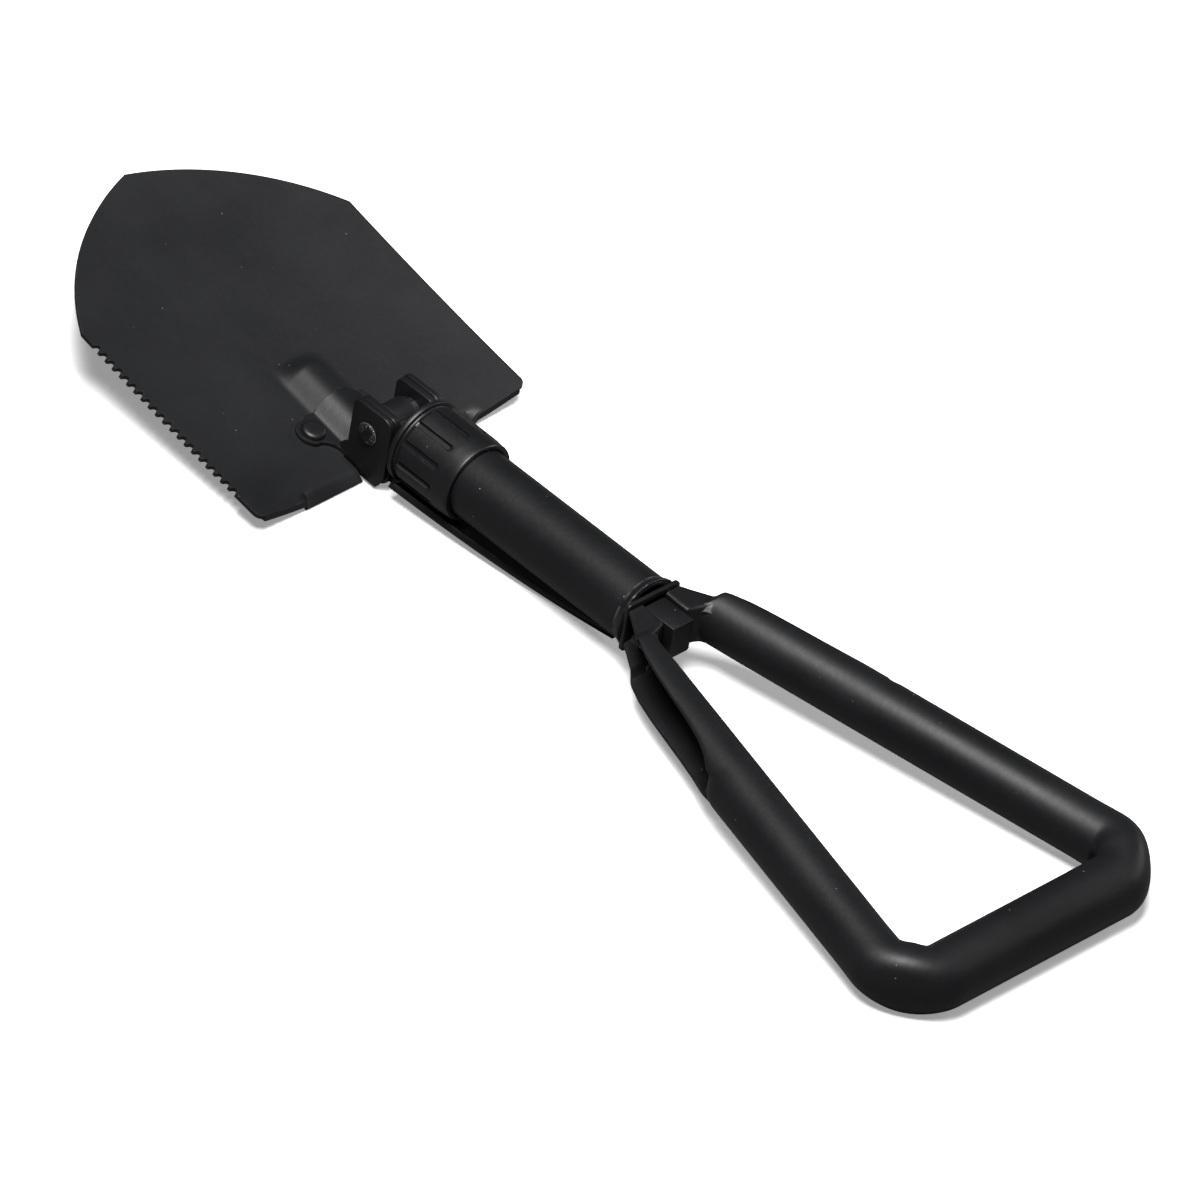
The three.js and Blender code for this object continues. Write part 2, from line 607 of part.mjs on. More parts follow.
/** Centre line of the right half of the loop in plan: pressed end, straight arm, bend, bar. */
function gripPath() {
  const { barX, bendRadius, armSlope, startX, squareFrom } = GRIP;
  const { flatTo, tubeFrom } = PRESS;
  const onArm = (x) => new THREE.Vector2(x, armY(x));
  const lean = Math.atan(armSlope);
  const turn = Math.PI / 2 + lean;
  const reach = bendRadius * Math.tan(turn / 2);
  const bendStart = onArm(barX - reach * Math.cos(lean));
  const bendEnd = onArm(barX).sub(new THREE.Vector2(0, reach));
  const centre = new THREE.Vector2(barX - bendRadius, bendEnd.y);
  const path = new THREE.CurvePath();
  path.add(new THREE.LineCurve(onArm(startX), onArm(flatTo)));
  path.add(new THREE.LineCurve(onArm(flatTo), onArm(tubeFrom)));
  path.add(new THREE.LineCurve(onArm(tubeFrom), onArm(squareFrom)));
  path.add(new THREE.LineCurve(onArm(squareFrom), onArm(PRESS.fadeTo)));
  path.add(new THREE.LineCurve(onArm(PRESS.fadeTo), bendStart));
  path.add(new THREE.EllipseCurve(centre.x, centre.y, bendRadius, bendRadius, turn, 0, true));
  path.add(new THREE.LineCurve(bendEnd, new THREE.Vector2(barX, 0)));
  return path;
}

/** Sample stations along half of the loop: position in plan and outward direction. */
function gripStations() {
  const stations = [];
  const counts = [2, 2, 4, 5, 3, 7, 1];
  gripPath().curves.forEach((curve, k) => {
    for (let i = k === 0 ? 0 : 1; i <= counts[k]; i += 1) {
      const at = curve.getPoint(i / counts[k]);
      const along = curve.getTangent(i / counts[k]);
      const square = smooth((at.x - PRESS.tubeFrom) / (GRIP.squareFrom - PRESS.tubeFrom));
      const outward = new THREE.Vector2(0, 1).lerp(new THREE.Vector2(-along.y, along.x), square);
      stations.push({ at, outward: outward.normalize() });
    }
  });
  return stations;
}

/** Reads a line of [x, y] knots at a station. */
function gauge(line, x) {
  const next = line.findIndex(([knot]) => knot > x);
  if (next < 1) return line.at(next)[1];
  const [[x0, y0], [x1, y1]] = [line[next - 1], line[next]];
  return THREE.MathUtils.lerp(y0, y1, (x - x0) / (x1 - x0));
}

/** Upper half of the pressed section: over the inner wall to the lip, then in to the floor. */
function pressedSection(x, radius) {
  const { halfHeight, wallY, flatTo, tubeFrom, lipLine, floorLine, flange } = PRESS;
  const { lerp, clamp } = THREE.MathUtils;
  const round = smooth((x - flatTo) / (tubeFrom - flatTo));
  const lip = clamp(gauge(lipLine, x) - armY(x), -radius, 0.85 * radius);
  const floor = Math.min(gauge(floorLine, x) - armY(x), lip - 1);
  const wall = wallY - armY(x);
  const lipAngle = Math.acos(clamp(lip / radius, -1, 1));
  const flat = [
    [wall, 0], [wall, 0.7 * halfHeight], [wall, halfHeight], [(wall + lip) / 2, halfHeight], [lip, halfHeight],
  ];
  const over = flat.map(([across, height], i) => {
    const angle = lerp(Math.PI, lipAngle, i / (flat.length - 1));
    return [lerp(across, radius * Math.cos(angle), round), lerp(height, radius * Math.sin(angle), round)];
  });
  const high = over.at(-1)[1];
  const under = Math.max(high - flange, 0.6 * high);
  return [...over, [lip, under], [floor + 0.5, 0.85 * under], [floor, 0.45 * under], [floor, 0]];
}

/** One cross-section of the loop: a circle, pressed to a channel near the pin. */
function gripRing({ at, outward }, inset) {
  const { armRadius, barRadius, barX, swellLength } = GRIP;
  const swell = smooth((at.x - (barX - swellLength)) / swellLength);
  const radius = THREE.MathUtils.lerp(armRadius, barRadius, swell) - inset;
  const drop = -GRIP_DROOP * (at.x - GRIP_PIN.x);
  const pressed = pressedSection(at.x, radius);
  const fade = smooth((at.x - PRESS.fadeFrom) / (PRESS.fadeTo - PRESS.fadeFrom));
  const upper = pressed.map(([across, height], i) => {
    const angle = Math.PI * (1 - i / (pressed.length - 1));
    return [
      THREE.MathUtils.lerp(across, radius * Math.cos(angle), fade),
      THREE.MathUtils.lerp(height, radius * Math.sin(angle), fade),
    ];
  });
  const lower = upper.slice(1, -1).map(([across, height]) => [across, -height]);
  return [...upper.reverse(), ...lower].map(([across, height]) => (
    [at.x + outward.x * across, at.y + outward.y * across, drop + height]
  ));
}

/** Closes a run of equal rings into one solid, with a flat cap on the first and the last. */
function lofted(rings) {
  const count = rings[0].length;
  const index = [];
  for (let r = 0; r + 1 < rings.length; r += 1) {
    for (let i = 0; i < count; i += 1) {
      const [a, b] = [r * count + i, r * count + ((i + 1) % count)];
      index.push(a, b, b + count, a, b + count, a + count);
    }
  }
  for (const [ring, flip] of [[0, true], [rings.length - 1, false]]) {
    const outline = rings[ring].map(([, y, z]) => new THREE.Vector2(Math.abs(y), z));
    for (const face of THREE.ShapeUtils.triangulateShape(outline, [])) {
      const corners = face.map((corner) => ring * count + corner);
      index.push(...(flip ? corners.reverse() : corners));
    }
  }
  const geometry = new THREE.BufferGeometry();
  geometry.setAttribute('position', new THREE.Float32BufferAttribute(rings.flat(2), 3));
  geometry.setIndex(index);
  return solid(geometry);
}

/** The whole loop from one half's stations: right arm, bar, then the mirrored left arm. */
function loopRings(stations, inset) {
  const left = stations.slice(0, -1).reverse().map(({ at, outward }) => ({
    at: new THREE.Vector2(at.x, -at.y),
    outward: new THREE.Vector2(outward.x, -outward.y),
  }));
  return [...stations, ...left].map((station) => gripRing(station, inset));
}

function buildGrip() {
  const stations = gripStations();
  const hollow = stations.filter(({ at }) => at.x >= PRESS.fadeTo - 0.01);
  let loop = lofted(loopRings(stations, 0)).subtract(lofted(loopRings(hollow, GRIP.wall)));
  const drainX = GRIP.barX - GRIP.drainFromBar;
  for (const [, side] of SIDES) {
    const drain = rod('z', GRIP.drainRadius, -THROUGH, -GRIP_DROOP * drainX, drainX, side * armY(drainX), 12);
    loop = loop.subtract(drain);
  }
  const { x, radius, headRadius, bushRadius, headY, headThickness, dimple } = GRIP_PIN;
  const bore = pinBore(radius, x);
  const roundEnd = rod('y', x - GAP, -THROUGH, THROUGH, x, 0, 16);
  const corners = box(0, x, -THROUGH, THROUGH, -THROUGH, THROUGH).subtract(roundEnd);
  const swing = x - GAP;
  const plateY = END_PLATE.halfY + GAP;
  const shoulders = box(x, PRESS.tubeFrom + swing, -plateY, plateY, -THROUGH, THROUGH);
  const kept = box(0, THROUGH, -THROUGH, THROUGH, -swing, swing);
  loop = loop.subtract(bore).subtract(corners).subtract(shoulders.subtract(kept));
  piece('grip_loop', loop, FINISH.coatSmooth);
  const floorY = PRESS.floorLine[0][1];
  let pin = rod('y', radius, -headY, headY, x);
  for (const [name, side] of SIDES) {
    const bush = rod('y', bushRadius, ...span(side, floorY + GAP, headY - GAP), x);
    piece(`grip_bush_${name}`, bush.subtract(bore), FINISH.darkSteel);
    const head = rod('y', headRadius, ...span(side, headY, headY + headThickness), x);
    const pit = rod('y', dimple * headRadius, ...span(side, headY + 0.5 * headThickness, THROUGH), x);
    pin = joined(pin, head).subtract(pit);
  }
  piece('grip_pin', pin, FINISH.coatSmooth);
}

buildBlade();
buildBracket();
buildBracketRivets();
buildHingeCore();
buildPick();
buildCollar();
buildSleeve();
buildShaft();
buildPullBar();
buildGrip();

export default tool;
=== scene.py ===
"""The finished looks of a folding camp shovel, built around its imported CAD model.

Every piece is shaped in shaft millimetres: X runs along the shaft with 0 at the end plate's outer
face, Y points to the blade's plain side and Z = 0 is the shaft's axis. It is then placed in metres.
"""

import logging
import math
from dataclasses import dataclass
from enum import Enum
from typing import Callable, Sequence

import bmesh
import bpy
from mathutils import Matrix, Vector, noise


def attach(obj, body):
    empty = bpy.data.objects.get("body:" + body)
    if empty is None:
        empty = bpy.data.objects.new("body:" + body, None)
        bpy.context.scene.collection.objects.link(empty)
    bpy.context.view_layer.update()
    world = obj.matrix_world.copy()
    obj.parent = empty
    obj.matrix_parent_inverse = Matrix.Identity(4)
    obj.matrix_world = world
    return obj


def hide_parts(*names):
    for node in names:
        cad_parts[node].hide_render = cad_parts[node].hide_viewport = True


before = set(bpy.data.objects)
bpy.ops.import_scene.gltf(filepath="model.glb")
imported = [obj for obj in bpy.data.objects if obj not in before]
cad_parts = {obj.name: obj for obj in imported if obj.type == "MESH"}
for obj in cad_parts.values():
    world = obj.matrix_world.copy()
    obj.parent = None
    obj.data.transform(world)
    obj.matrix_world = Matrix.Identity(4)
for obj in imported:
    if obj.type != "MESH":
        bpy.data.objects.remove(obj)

LOG = logging.getLogger("camp_shovel")
Pair = tuple[float, float]
Triple = tuple[float, float, float]
Colour = tuple[float, float, float]
Profile = Sequence[Pair]

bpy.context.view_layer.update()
SHAFT_START = (0.0427, 0.0, 0.026)
SHAFT_TO_WORLD = Matrix.Translation(SHAFT_START) @ Matrix.Scale(0.001, 4)


class Body(Enum):
    """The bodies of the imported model."""

    SHAFT = "shaft"
    RING = "ring"
    COLLAR = "collar"
    CORE = "core"
    BLADE = "blade"
    PICK = "pick"
    GRIP = "grip"


class Slot(Enum):
    """The material slots."""

    COAT = "coat"
    COAT_SMOOTH = "coat_smooth"
    STEEL = "steel"
    DARK_STEEL = "dark_steel"
    BRASS = "brass"


class Axis(Enum):
    """The axis that a flat plate is drawn across."""

    X = 0
    Y = 1
    Z = 2


SIDES = (("left", -1), ("right", 1))

# Where a line of knots is read, it is averaged over these shifts, which shrink to nothing by the
# grip's pin so that the flat ends stay crisp.
EASE_SHIFTS = (-2.0, -1.0, 0.0, 1.0, 2.0)
EASE_NONE_X = 13.0
EASE_REACH = 20.0


# ------------------------------------------------------------------ small sums
def smooth(t: float) -> float:
    """Eases a value from 0 to 1.

    Args:
        t: Any number; it is clamped to 0..1.

    Returns:
        The eased value.
    """
    t = min(1.0, max(0.0, t))
    return t * t * (3.0 - 2.0 * t)


def mix(a: float, b: float, t: float) -> float:
    """Returns the value a share t of the way from a to b."""
    return a + (b - a) * t


def spread(start: float, end: float, count: int) -> list[float]:
    """Returns count + 1 evenly spaced values from start to end."""
    return [mix(start, end, i / count) for i in range(count + 1)]


def gauge(line: Profile, x: float) -> float:
    """Reads a line of (x, y) knots at a station, eased a little at its knots.

    Args:
        line: The knots, in order.
        x: The station.

    Returns:
        The line's value there.
    """
    total = 0.0
    ease = min(1.0, abs(x - EASE_NONE_X) / EASE_REACH)
    for shift in EASE_SHIFTS:
        at = min(max(x + shift * ease, line[0][0]), line[-1][0])
        for (x0, y0), (x1, y1) in zip(line, line[1:]):
            if x0 <= at <= x1:
                total += mix(y0, y1, (at - x0) / (x1 - x0)) / len(EASE_SHIFTS)
                break
    return total


def arc(u: float, v: float, radius: float, start: float, end: float, count: int) -> list[Pair]:
    """Points on an arc.

    Args:
        u: First coordinate of the centre.
        v: Second coordinate of the centre.
        radius: Radius of the arc.
        start: First angle, in degrees.
        end: Last angle, in degrees.
        count: Number of steps.

    Returns:
        The points from start to end.
    """
    angles = [math.radians(a) for a in spread(start, end, count)]
    return [(u + radius * math.cos(a), v + radius * math.sin(a)) for a in angles]


def rounded_rectangle(half_u: float, half_v: float, radius: float) -> list[Pair]:
    """Returns the outline of a rectangle about the origin with rounded corners.

    Args:
        half_u: Half its first side.
        half_v: Half its second side.
        radius: The corners' radius.

    Returns:
        The outline's points.
    """
    outline: list[Pair] = []
    corners = ((1, 1, 0), (-1, 1, 90), (-1, -1, 180), (1, -1, 270))
    for su, sv, start in corners:
        centre_u, centre_v = su * (half_u - radius), sv * (half_v - radius)
        outline += arc(centre_u, centre_v, radius, start, start + 90, 6)
    return outline


def across(axis: Axis, u: float, v: float, depth: float) -> Triple:
    """Puts a drawn point (u, v) at a depth along an axis, in X, Y, Z order.

    Args:
        axis: The axis.
        u: First drawn coordinate.
        v: Second drawn coordinate.
        depth: Where it is along the axis.

    Returns:
        The point.
    """
    return {
        Axis.X: (depth, u, v),
        Axis.Y: (u, depth, v),
        Axis.Z: (u, v, depth),
    }[axis]


# ------------------------------------------------------------------ the bench
def clear_bench() -> None:
    """Leaves edit mode and deselects everything."""
    if bpy.context.mode != "OBJECT":
        bpy.ops.object.mode_set(mode="OBJECT")
    bpy.ops.object.select_all(action="DESELECT")


class Blank:
    """One piece of stock on the bench, shaped by edit-mode operators and applied modifiers."""

    def __init__(self, name: str) -> None:
        """Takes the primitive that was just added as the stock for a named piece.

        Args:
            name: The piece's name.
        """
        self.object: bpy.types.Object = bpy.context.active_object
        self.object.name = name
        self.object.data.name = name
        self.take()
        bpy.ops.object.transform_apply(location=True, rotation=True, scale=True)

    def take(self) -> None:
        """Selects this piece alone and makes it active."""
        clear_bench()
        self.object.select_set(True)
        bpy.context.view_layer.objects.active = self.object

    def edit(self, kind: str, test: Callable[[object], bool] | None = None) -> None:
        """Opens the piece in edit mode with a choice of its elements selected.

        Args:
            kind: VERT, EDGE or FACE.
            test: Says whether an element is selected; all are when it is left out.
        """
        self.take()
        bpy.ops.object.mode_set(mode="EDIT")
        bpy.ops.mesh.select_mode(type=kind)
        bpy.ops.mesh.select_all(action="DESELECT")
        mesh = bmesh.from_edit_mesh(self.object.data)
        elements = {"VERT": mesh.verts, "EDGE": mesh.edges, "FACE": mesh.faces}[kind]
        for element in elements:
            if test is None or test(element):
                element.select_set(True)
        bmesh.update_edit_mesh(self.object.data)

    def modify(self, kind: str, **settings: object) -> "Blank":
        """Adds one modifier and applies it.

        Args:
            kind: The modifier's type.
            **settings: Its values.

        Returns:
            This piece.
        """
        self.take()
        modifier = self.object.modifiers.new(kind.lower(), kind)
        for name, value in settings.items():
            setattr(modifier, name, value)
        bpy.ops.object.modifier_apply(modifier=modifier.name)
        return self

    def ease_edges(self, width: float, segments: int = 2, angle: float = 35.0) -> "Blank":
        """Rounds every edge sharper than an angle in degrees.

        Args:
            width: How wide the rounding is.
            segments: Steps in it.
            angle: The angle.

        Returns:
            This piece.
        """
        return self.modify(
            "BEVEL",
            width=width,
            segments=segments,
            limit_method="ANGLE",
            angle_limit=math.radians(angle),
        )

    def combine(self, tool: "Blank", operation: str) -> "Blank":
        """Unites with, cuts by or keeps what is common with another piece, which is used up.

        Args:
            tool: The other piece.
            operation: UNION, DIFFERENCE or INTERSECT.

        Returns:
            This piece.
        """
        self.modify("BOOLEAN", operation=operation, solver="EXACT", object=tool.object)
        bpy.data.objects.remove(tool.object)
        return self

    def join(self, *others: "Blank") -> "Blank":
        """Keeps other shells in the same object as this one.

        Args:
            *others: The other shells.

        Returns:
            This piece.
        """
        self.take()
        for other in others:
            other.object.select_set(True)
        bpy.ops.object.join()
        return self

    def face_outwards(self) -> "Blank":
        """Merges doubles and points every face outwards.

        Returns:
            This piece.
        """
        self.edit("VERT")
        bpy.ops.mesh.remove_doubles(threshold=0.001)
        bpy.ops.mesh.select_all(action="SELECT")
        bpy.ops.mesh.normals_make_consistent(inside=False)
        clear_bench()
        return self

    def reshape(self, move: Callable[[Vector], Sequence[float]]) -> "Blank":
        """Moves every point to where a rule puts it.

        Args:
            move: The rule.

        Returns:
            This piece.
        """
        clear_bench()
        for vertex in self.object.data.vertices:
            vertex.co = move(vertex.co.copy())
        return self

    def turn(self, matrix: Matrix) -> "Blank":
        """Moves the whole piece by a matrix.

        Args:
            matrix: The move.

        Returns:
            This piece.
        """
        clear_bench()
        self.object.data.transform(matrix)
        return self

    def settle(
        self,
        body: Body,
        slot: Slot,
        finish: "Finish",
        nodes: Sequence[str],
        angle: float = 35.0,
    ) -> bpy.types.Object:
        """Places the piece in metres, dresses it and hangs it on its body.

        Args:
            body: The body it moves with.
            slot: The material slot; not used.
            finish: Its finish.
            nodes: The CAD nodes it stands for.
            angle: Faces that meet at less than this angle, in degrees, are shaded as one.

        Returns:
            The finished object.
        """
        self.turn(SHAFT_TO_WORLD)
        self.take()
        bpy.ops.object.shade_smooth_by_angle(angle=math.radians(angle))
        clear_bench()
        self.object.data.materials.clear()
        self.object.data.materials.append(finish.material())
        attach(self.object, body.value)
        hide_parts(*nodes)
        LOG.info("%s stands for %s", self.object.name, ", ".join(nodes))
        return self.object


def turned(name: str, profile: Profile, segments: int = 96, closed: bool = False) -> Blank:
    """Turns a profile about the shaft's axis: a circle, extruded and resized step by step.

    Args:
        name: The piece's name.
        profile: (x, radius) pairs.
        segments: Steps round the axis.
        closed: True where the last loop joins the first, as in a tube.

    Returns:
        The turned piece.
    """
    x, radius = profile[0]
    clear_bench()
    bpy.ops.mesh.primitive_circle_add(
        vertices=segments, radius=radius, location=(x, 0, 0), rotation=(0, math.pi / 2, 0)
    )
    blank = Blank(name)
    blank.edit("EDGE")
    for next_x, next_radius in profile[1:]:
        bpy.ops.mesh.extrude_edges_move(TRANSFORM_OT_translate={"value": (next_x - x, 0, 0)})
        ratio = next_radius / radius
        bpy.ops.transform.resize(value=(1, ratio, ratio), center_override=(next_x, 0, 0))
        x, radius = next_x, next_radius
    bpy.ops.mesh.select_all(action="DESELECT")
    bpy.ops.mesh.select_non_manifold()
    if closed:
        bpy.ops.mesh.bridge_edge_loops()
    else:
        bpy.ops.mesh.fill_holes(sides=0)
    return blank.face_outwards()


def plate(name: str, outline: Profile, axis: Axis, low: float, high: float) -> Blank:
    """Cuts a flat plate: a filled circle drawn out to an outline, then extruded.

    Args:
        name: The piece's name.
        outline: The corners, in the two other axes.
        axis: The axis across the plate.
        low: Where the plate starts.
        high: Where it ends.

    Returns:
        The plate.
    """
    clear_bench()
    bpy.ops.mesh.primitive_circle_add(vertices=len(outline), radius=1, fill_type="NGON")
    blank = Blank(name)
    for vertex, (u, v) in zip(blank.object.data.vertices, outline):
        vertex.co = across(axis, u, v, low)
    blank.edit("FACE")
    shift = across(axis, 0.0, 0.0, high - low)
    bpy.ops.mesh.extrude_region_move(TRANSFORM_OT_translate={"value": shift})
    return blank.face_outwards()


def sheet(name: str, stations: Sequence[float], lanes: Sequence[float], place: Callable) -> Blank:
    """Lays out a sheet: a grid whose crossings are put in place by a rule.

    Args:
        name: The piece's name.
        stations: Values along the grid's first side.
        lanes: Values along its second side.
        place: Takes a station and a lane and returns the point.

    Returns:
        The sheet, one face thick.
    """
    clear_bench()
    last_station, last_lane = len(stations) - 1, len(lanes) - 1
    bpy.ops.mesh.primitive_grid_add(x_subdivisions=last_station, y_subdivisions=last_lane, size=2)
    blank = Blank(name)

    def move(co: Vector) -> Sequence[float]:
        """Finds a crossing's place from where it is in the plain grid.

        Args:
            co: Where it is.

        Returns:
            Where it goes.
        """
        i = round((co.x + 1) / 2 * last_station)
        j = round((co.y + 1) / 2 * last_lane)
        return place(stations[i], lanes[j])

    return blank.reshape(move)


def cross_rod(name: str, profile: Profile, x: float, z: float, segments: int = 48) -> Blank:
    """Turns a profile of (y, radius) pairs about a cross axis at (x, z)."""
    quarter = Matrix.Rotation(math.pi / 2, 4, "Z")
    return turned(name, profile, segments).turn(Matrix.Translation((x, 0, z)) @ quarter)


# ------------------------------------------------------------------ finishes
class NodeSheet:
    """A node tree with short ways to add and join its nodes."""

    def __init__(self, tree: bpy.types.NodeTree) -> None:
        """Works on a node tree."""
        self.tree = tree

    def add(self, kind: str, **settings: object) -> bpy.types.Node:
        """Adds a node and sets its properties, or its inputs where they are named so.

        Args:
            kind: The node's type.
            **settings: Its values.

        Returns:
            The node.
        """
        node = self.tree.nodes.new(kind)
        for name, value in settings.items():
            key = name.replace("_", " ")
            if key in node.inputs:
                node.inputs[key].default_value = value
            else:
                setattr(node, name, value)
        return node

    def link(self, source: bpy.types.NodeSocket, target: bpy.types.NodeSocket) -> None:
        """Joins two sockets."""
        self.tree.links.new(source, target)

    def noise(self, place: bpy.types.NodeSocket, scale: float, detail: float) -> bpy.types.NodeSocket:
        """Adds noise on a place and returns its value.

        Args:
            place: The place's socket.
            scale: How fine it is.
            detail: How many octaves it has.

        Returns:
            The value's socket.
        """
        node = self.add("ShaderNodeTexNoise", Scale=scale, Detail=detail)
        self.link(place, node.inputs["Vector"])
        return node.outputs["Fac"]

    def span(
        self,
        value: bpy.types.NodeSocket,
        source: Pair,
        target: Pair = (0.0, 1.0),
    ) -> bpy.types.NodeSocket:
        """Maps a value from one range to another and clamps it.

        Args:
            value: The value's socket.
            source: The range it comes in.
            target: The range it goes out in.

        Returns:
            The mapped value.
        """
        node = self.add("ShaderNodeMapRange")
        node.inputs["From Min"].default_value, node.inputs["From Max"].default_value = source
        node.inputs["To Min"].default_value, node.inputs["To Max"].default_value = target
        self.link(value, node.inputs["Value"])
        return node.outputs["Result"]

    def sum(
        self,
        operation: str,
        a: bpy.types.NodeSocket,
        b: bpy.types.NodeSocket | float,
        clamp: bool = False,
    ) -> bpy.types.NodeSocket:
        """Adds one Math node.

        Args:
            operation: The node's operation.
            a: The first value.
            b: The second value, a socket or a number.
            clamp: True to keep the result in 0..1.

        Returns:
            The result.
        """
        node = self.add("ShaderNodeMath", operation=operation, use_clamp=clamp)
        self.link(a, node.inputs[0])
        if isinstance(b, (int, float)):
            node.inputs[1].default_value = b
        else:
            self.link(b, node.inputs[1])
        return node.outputs[0]

    def blend(
        self,
        share: bpy.types.NodeSocket,
        a: bpy.types.NodeSocket | Colour,
        b: bpy.types.NodeSocket | Colour,
    ) -> bpy.types.NodeSocket:
        """Mixes two colours by a share and returns the colour.

        Args:
            share: The share's socket.
            a: The colour at 0.
            b: The colour at 1.

        Returns:
            The mixed colour's socket.
        """
        node = self.add("ShaderNodeMix", data_type="RGBA")
        self.link(share, node.inputs["Factor"])
        colour_inputs = [s for s in node.inputs if s.type == "RGBA"]
        for socket, colour in zip(colour_inputs, (a, b)):
            if isinstance(colour, tuple):
                socket.default_value = (*colour, 1.0)
            else:
                self.link(colour, socket)
        return next(s for s in node.outputs if s.type == "RGBA")


def effect(
    name: str, inputs: dict[str, float], outputs: Sequence[str]
) -> tuple[NodeSheet, bpy.types.Node, bpy.types.Node]:
    """Starts a node group for an effect that several materials use.

    Args:
        name: The group's name.
        inputs: Names and first values of its inputs.
        outputs: Names of its outputs.

    Returns:
        The group's sheet, its input node and its output node.
    """
    tree = bpy.data.node_groups.new(name, "ShaderNodeTree")
    for label, value in inputs.items():
        socket = tree.interface.new_socket(label, in_out="INPUT", socket_type="NodeSocketFloat")
        socket.default_value = value
    for label in outputs:
        tree.interface.new_socket(label, in_out="OUTPUT", socket_type="NodeSocketFloat")
    nodes = NodeSheet(tree)
    return nodes, nodes.add("NodeGroupInput"), nodes.add("NodeGroupOutput")


def coat_grain_group() -> bpy.types.NodeTree:
    """Powder grain, orange peel and slow mottling of a sprayed coat.

    Returns:
        The group, with outputs Height, Tone and Gloss.
    """
    if "coat_grain" in bpy.data.node_groups:
        return bpy.data.node_groups["coat_grain"]
    nodes, given, out = effect(
        "coat_grain", {"Grain": 1.0, "Peel": 1.0}, ("Height", "Tone", "Gloss")
    )
    place = nodes.add("ShaderNodeTexCoord").outputs["Object"]
    fine = nodes.noise(place, 2400.0, 2.0)
    peel = nodes.noise(place, 420.0, 1.5)
    slow = nodes.noise(place, 26.0, 3.0)
    height = nodes.sum("MULTIPLY", fine, given.outputs["Grain"])
    swell = nodes.sum("MULTIPLY", peel, given.outputs["Peel"])
    nodes.link(nodes.sum("ADD", height, swell), out.inputs["Height"])
    mottle = nodes.span(slow, (0.3, 0.7), (0.0, 0.6))
    speckle = nodes.span(fine, (0.45, 0.75), (0.0, 0.4))
    nodes.link(nodes.sum("ADD", mottle, speckle), out.inputs["Tone"])
    broad = nodes.span(slow, (0.3, 0.7), (-1.0, 1.0))
    close = nodes.span(peel, (0.3, 0.7), (-0.6, 0.6))
    nodes.link(nodes.sum("ADD", broad, close), out.inputs["Gloss"])
    return nodes.tree


def worn_and_highlit_edge_group() -> bpy.types.NodeTree:
    """Where outer edges are worn bare, which also paints a thin highlight along them: broken up by noise.

    Returns:
        The group, with output Mask.
    """
    if "worn_and_highlit_edge" in bpy.data.node_groups:
        return bpy.data.node_groups["worn_and_highlit_edge"]
    nodes, given, out = effect("worn_and_highlit_edge", {"Width": 0.0006, "Amount": 0.5}, ("Mask",))
    rounded = nodes.add("ShaderNodeBevel", samples=6)
    nodes.link(given.outputs["Width"], rounded.inputs["Radius"])
    flat = nodes.add("ShaderNodeNewGeometry")
    dot = nodes.add("ShaderNodeVectorMath", operation="DOT_PRODUCT")
    nodes.link(rounded.outputs["Normal"], dot.inputs[0])
    nodes.link(flat.outputs["Normal"], dot.inputs[1])
    edge = nodes.span(dot.outputs["Value"], (0.985, 0.86))
    place = nodes.add("ShaderNodeTexCoord").outputs["Object"]
    patches = nodes.span(nodes.noise(place, 160.0, 4.0), (0.46, 0.62))
    share = nodes.sum("MULTIPLY", patches, given.outputs["Amount"])
    mask = nodes.sum("MULTIPLY", edge, share, clamp=True)
    nodes.link(mask, out.inputs["Mask"])
    return nodes.tree


def lint_group() -> bpy.types.NodeTree:
    """A few specks of dust.

    Returns:
        The group, with output Mask.
    """
    if "lint" in bpy.data.node_groups:
        return bpy.data.node_groups["lint"]
    nodes, given, out = effect("lint", {"Amount": 0.5}, ("Mask",))
    place = nodes.add("ShaderNodeTexCoord").outputs["Object"]
    cells = nodes.add("ShaderNodeTexVoronoi", Scale=260.0)
    nodes.link(place, cells.inputs["Vector"])
    speck = nodes.span(cells.outputs["Distance"], (0.11, 0.05))
    sparse = nodes.span(nodes.noise(place, 90.0, 2.0), (0.62, 0.66))
    specks = nodes.sum("MULTIPLY", speck, sparse)
    mask = nodes.sum("MULTIPLY", specks, given.outputs["Amount"], clamp=True)
    nodes.link(mask, out.inputs["Mask"])
    return nodes.tree


@dataclass(frozen=True)
class Finish:
    """What every finish has: a name and a way to make its material."""

    name: str

    def material(self) -> bpy.types.Material:
        """Returns this finish's material, made the first time it is asked for.

        Returns:
            The material.
        """
        if self.name in bpy.data.materials:
            return bpy.data.materials[self.name]
        made = bpy.data.materials.new(self.name)
        made.use_nodes = True
        nodes = NodeSheet(made.node_tree)
        self.mix(nodes, made.node_tree.nodes["Principled BSDF"])
        return made

    def mix(self, nodes: NodeSheet, shader: bpy.types.Node) -> None:
        """Joins the finish's nodes to the shader."""
        raise NotImplementedError


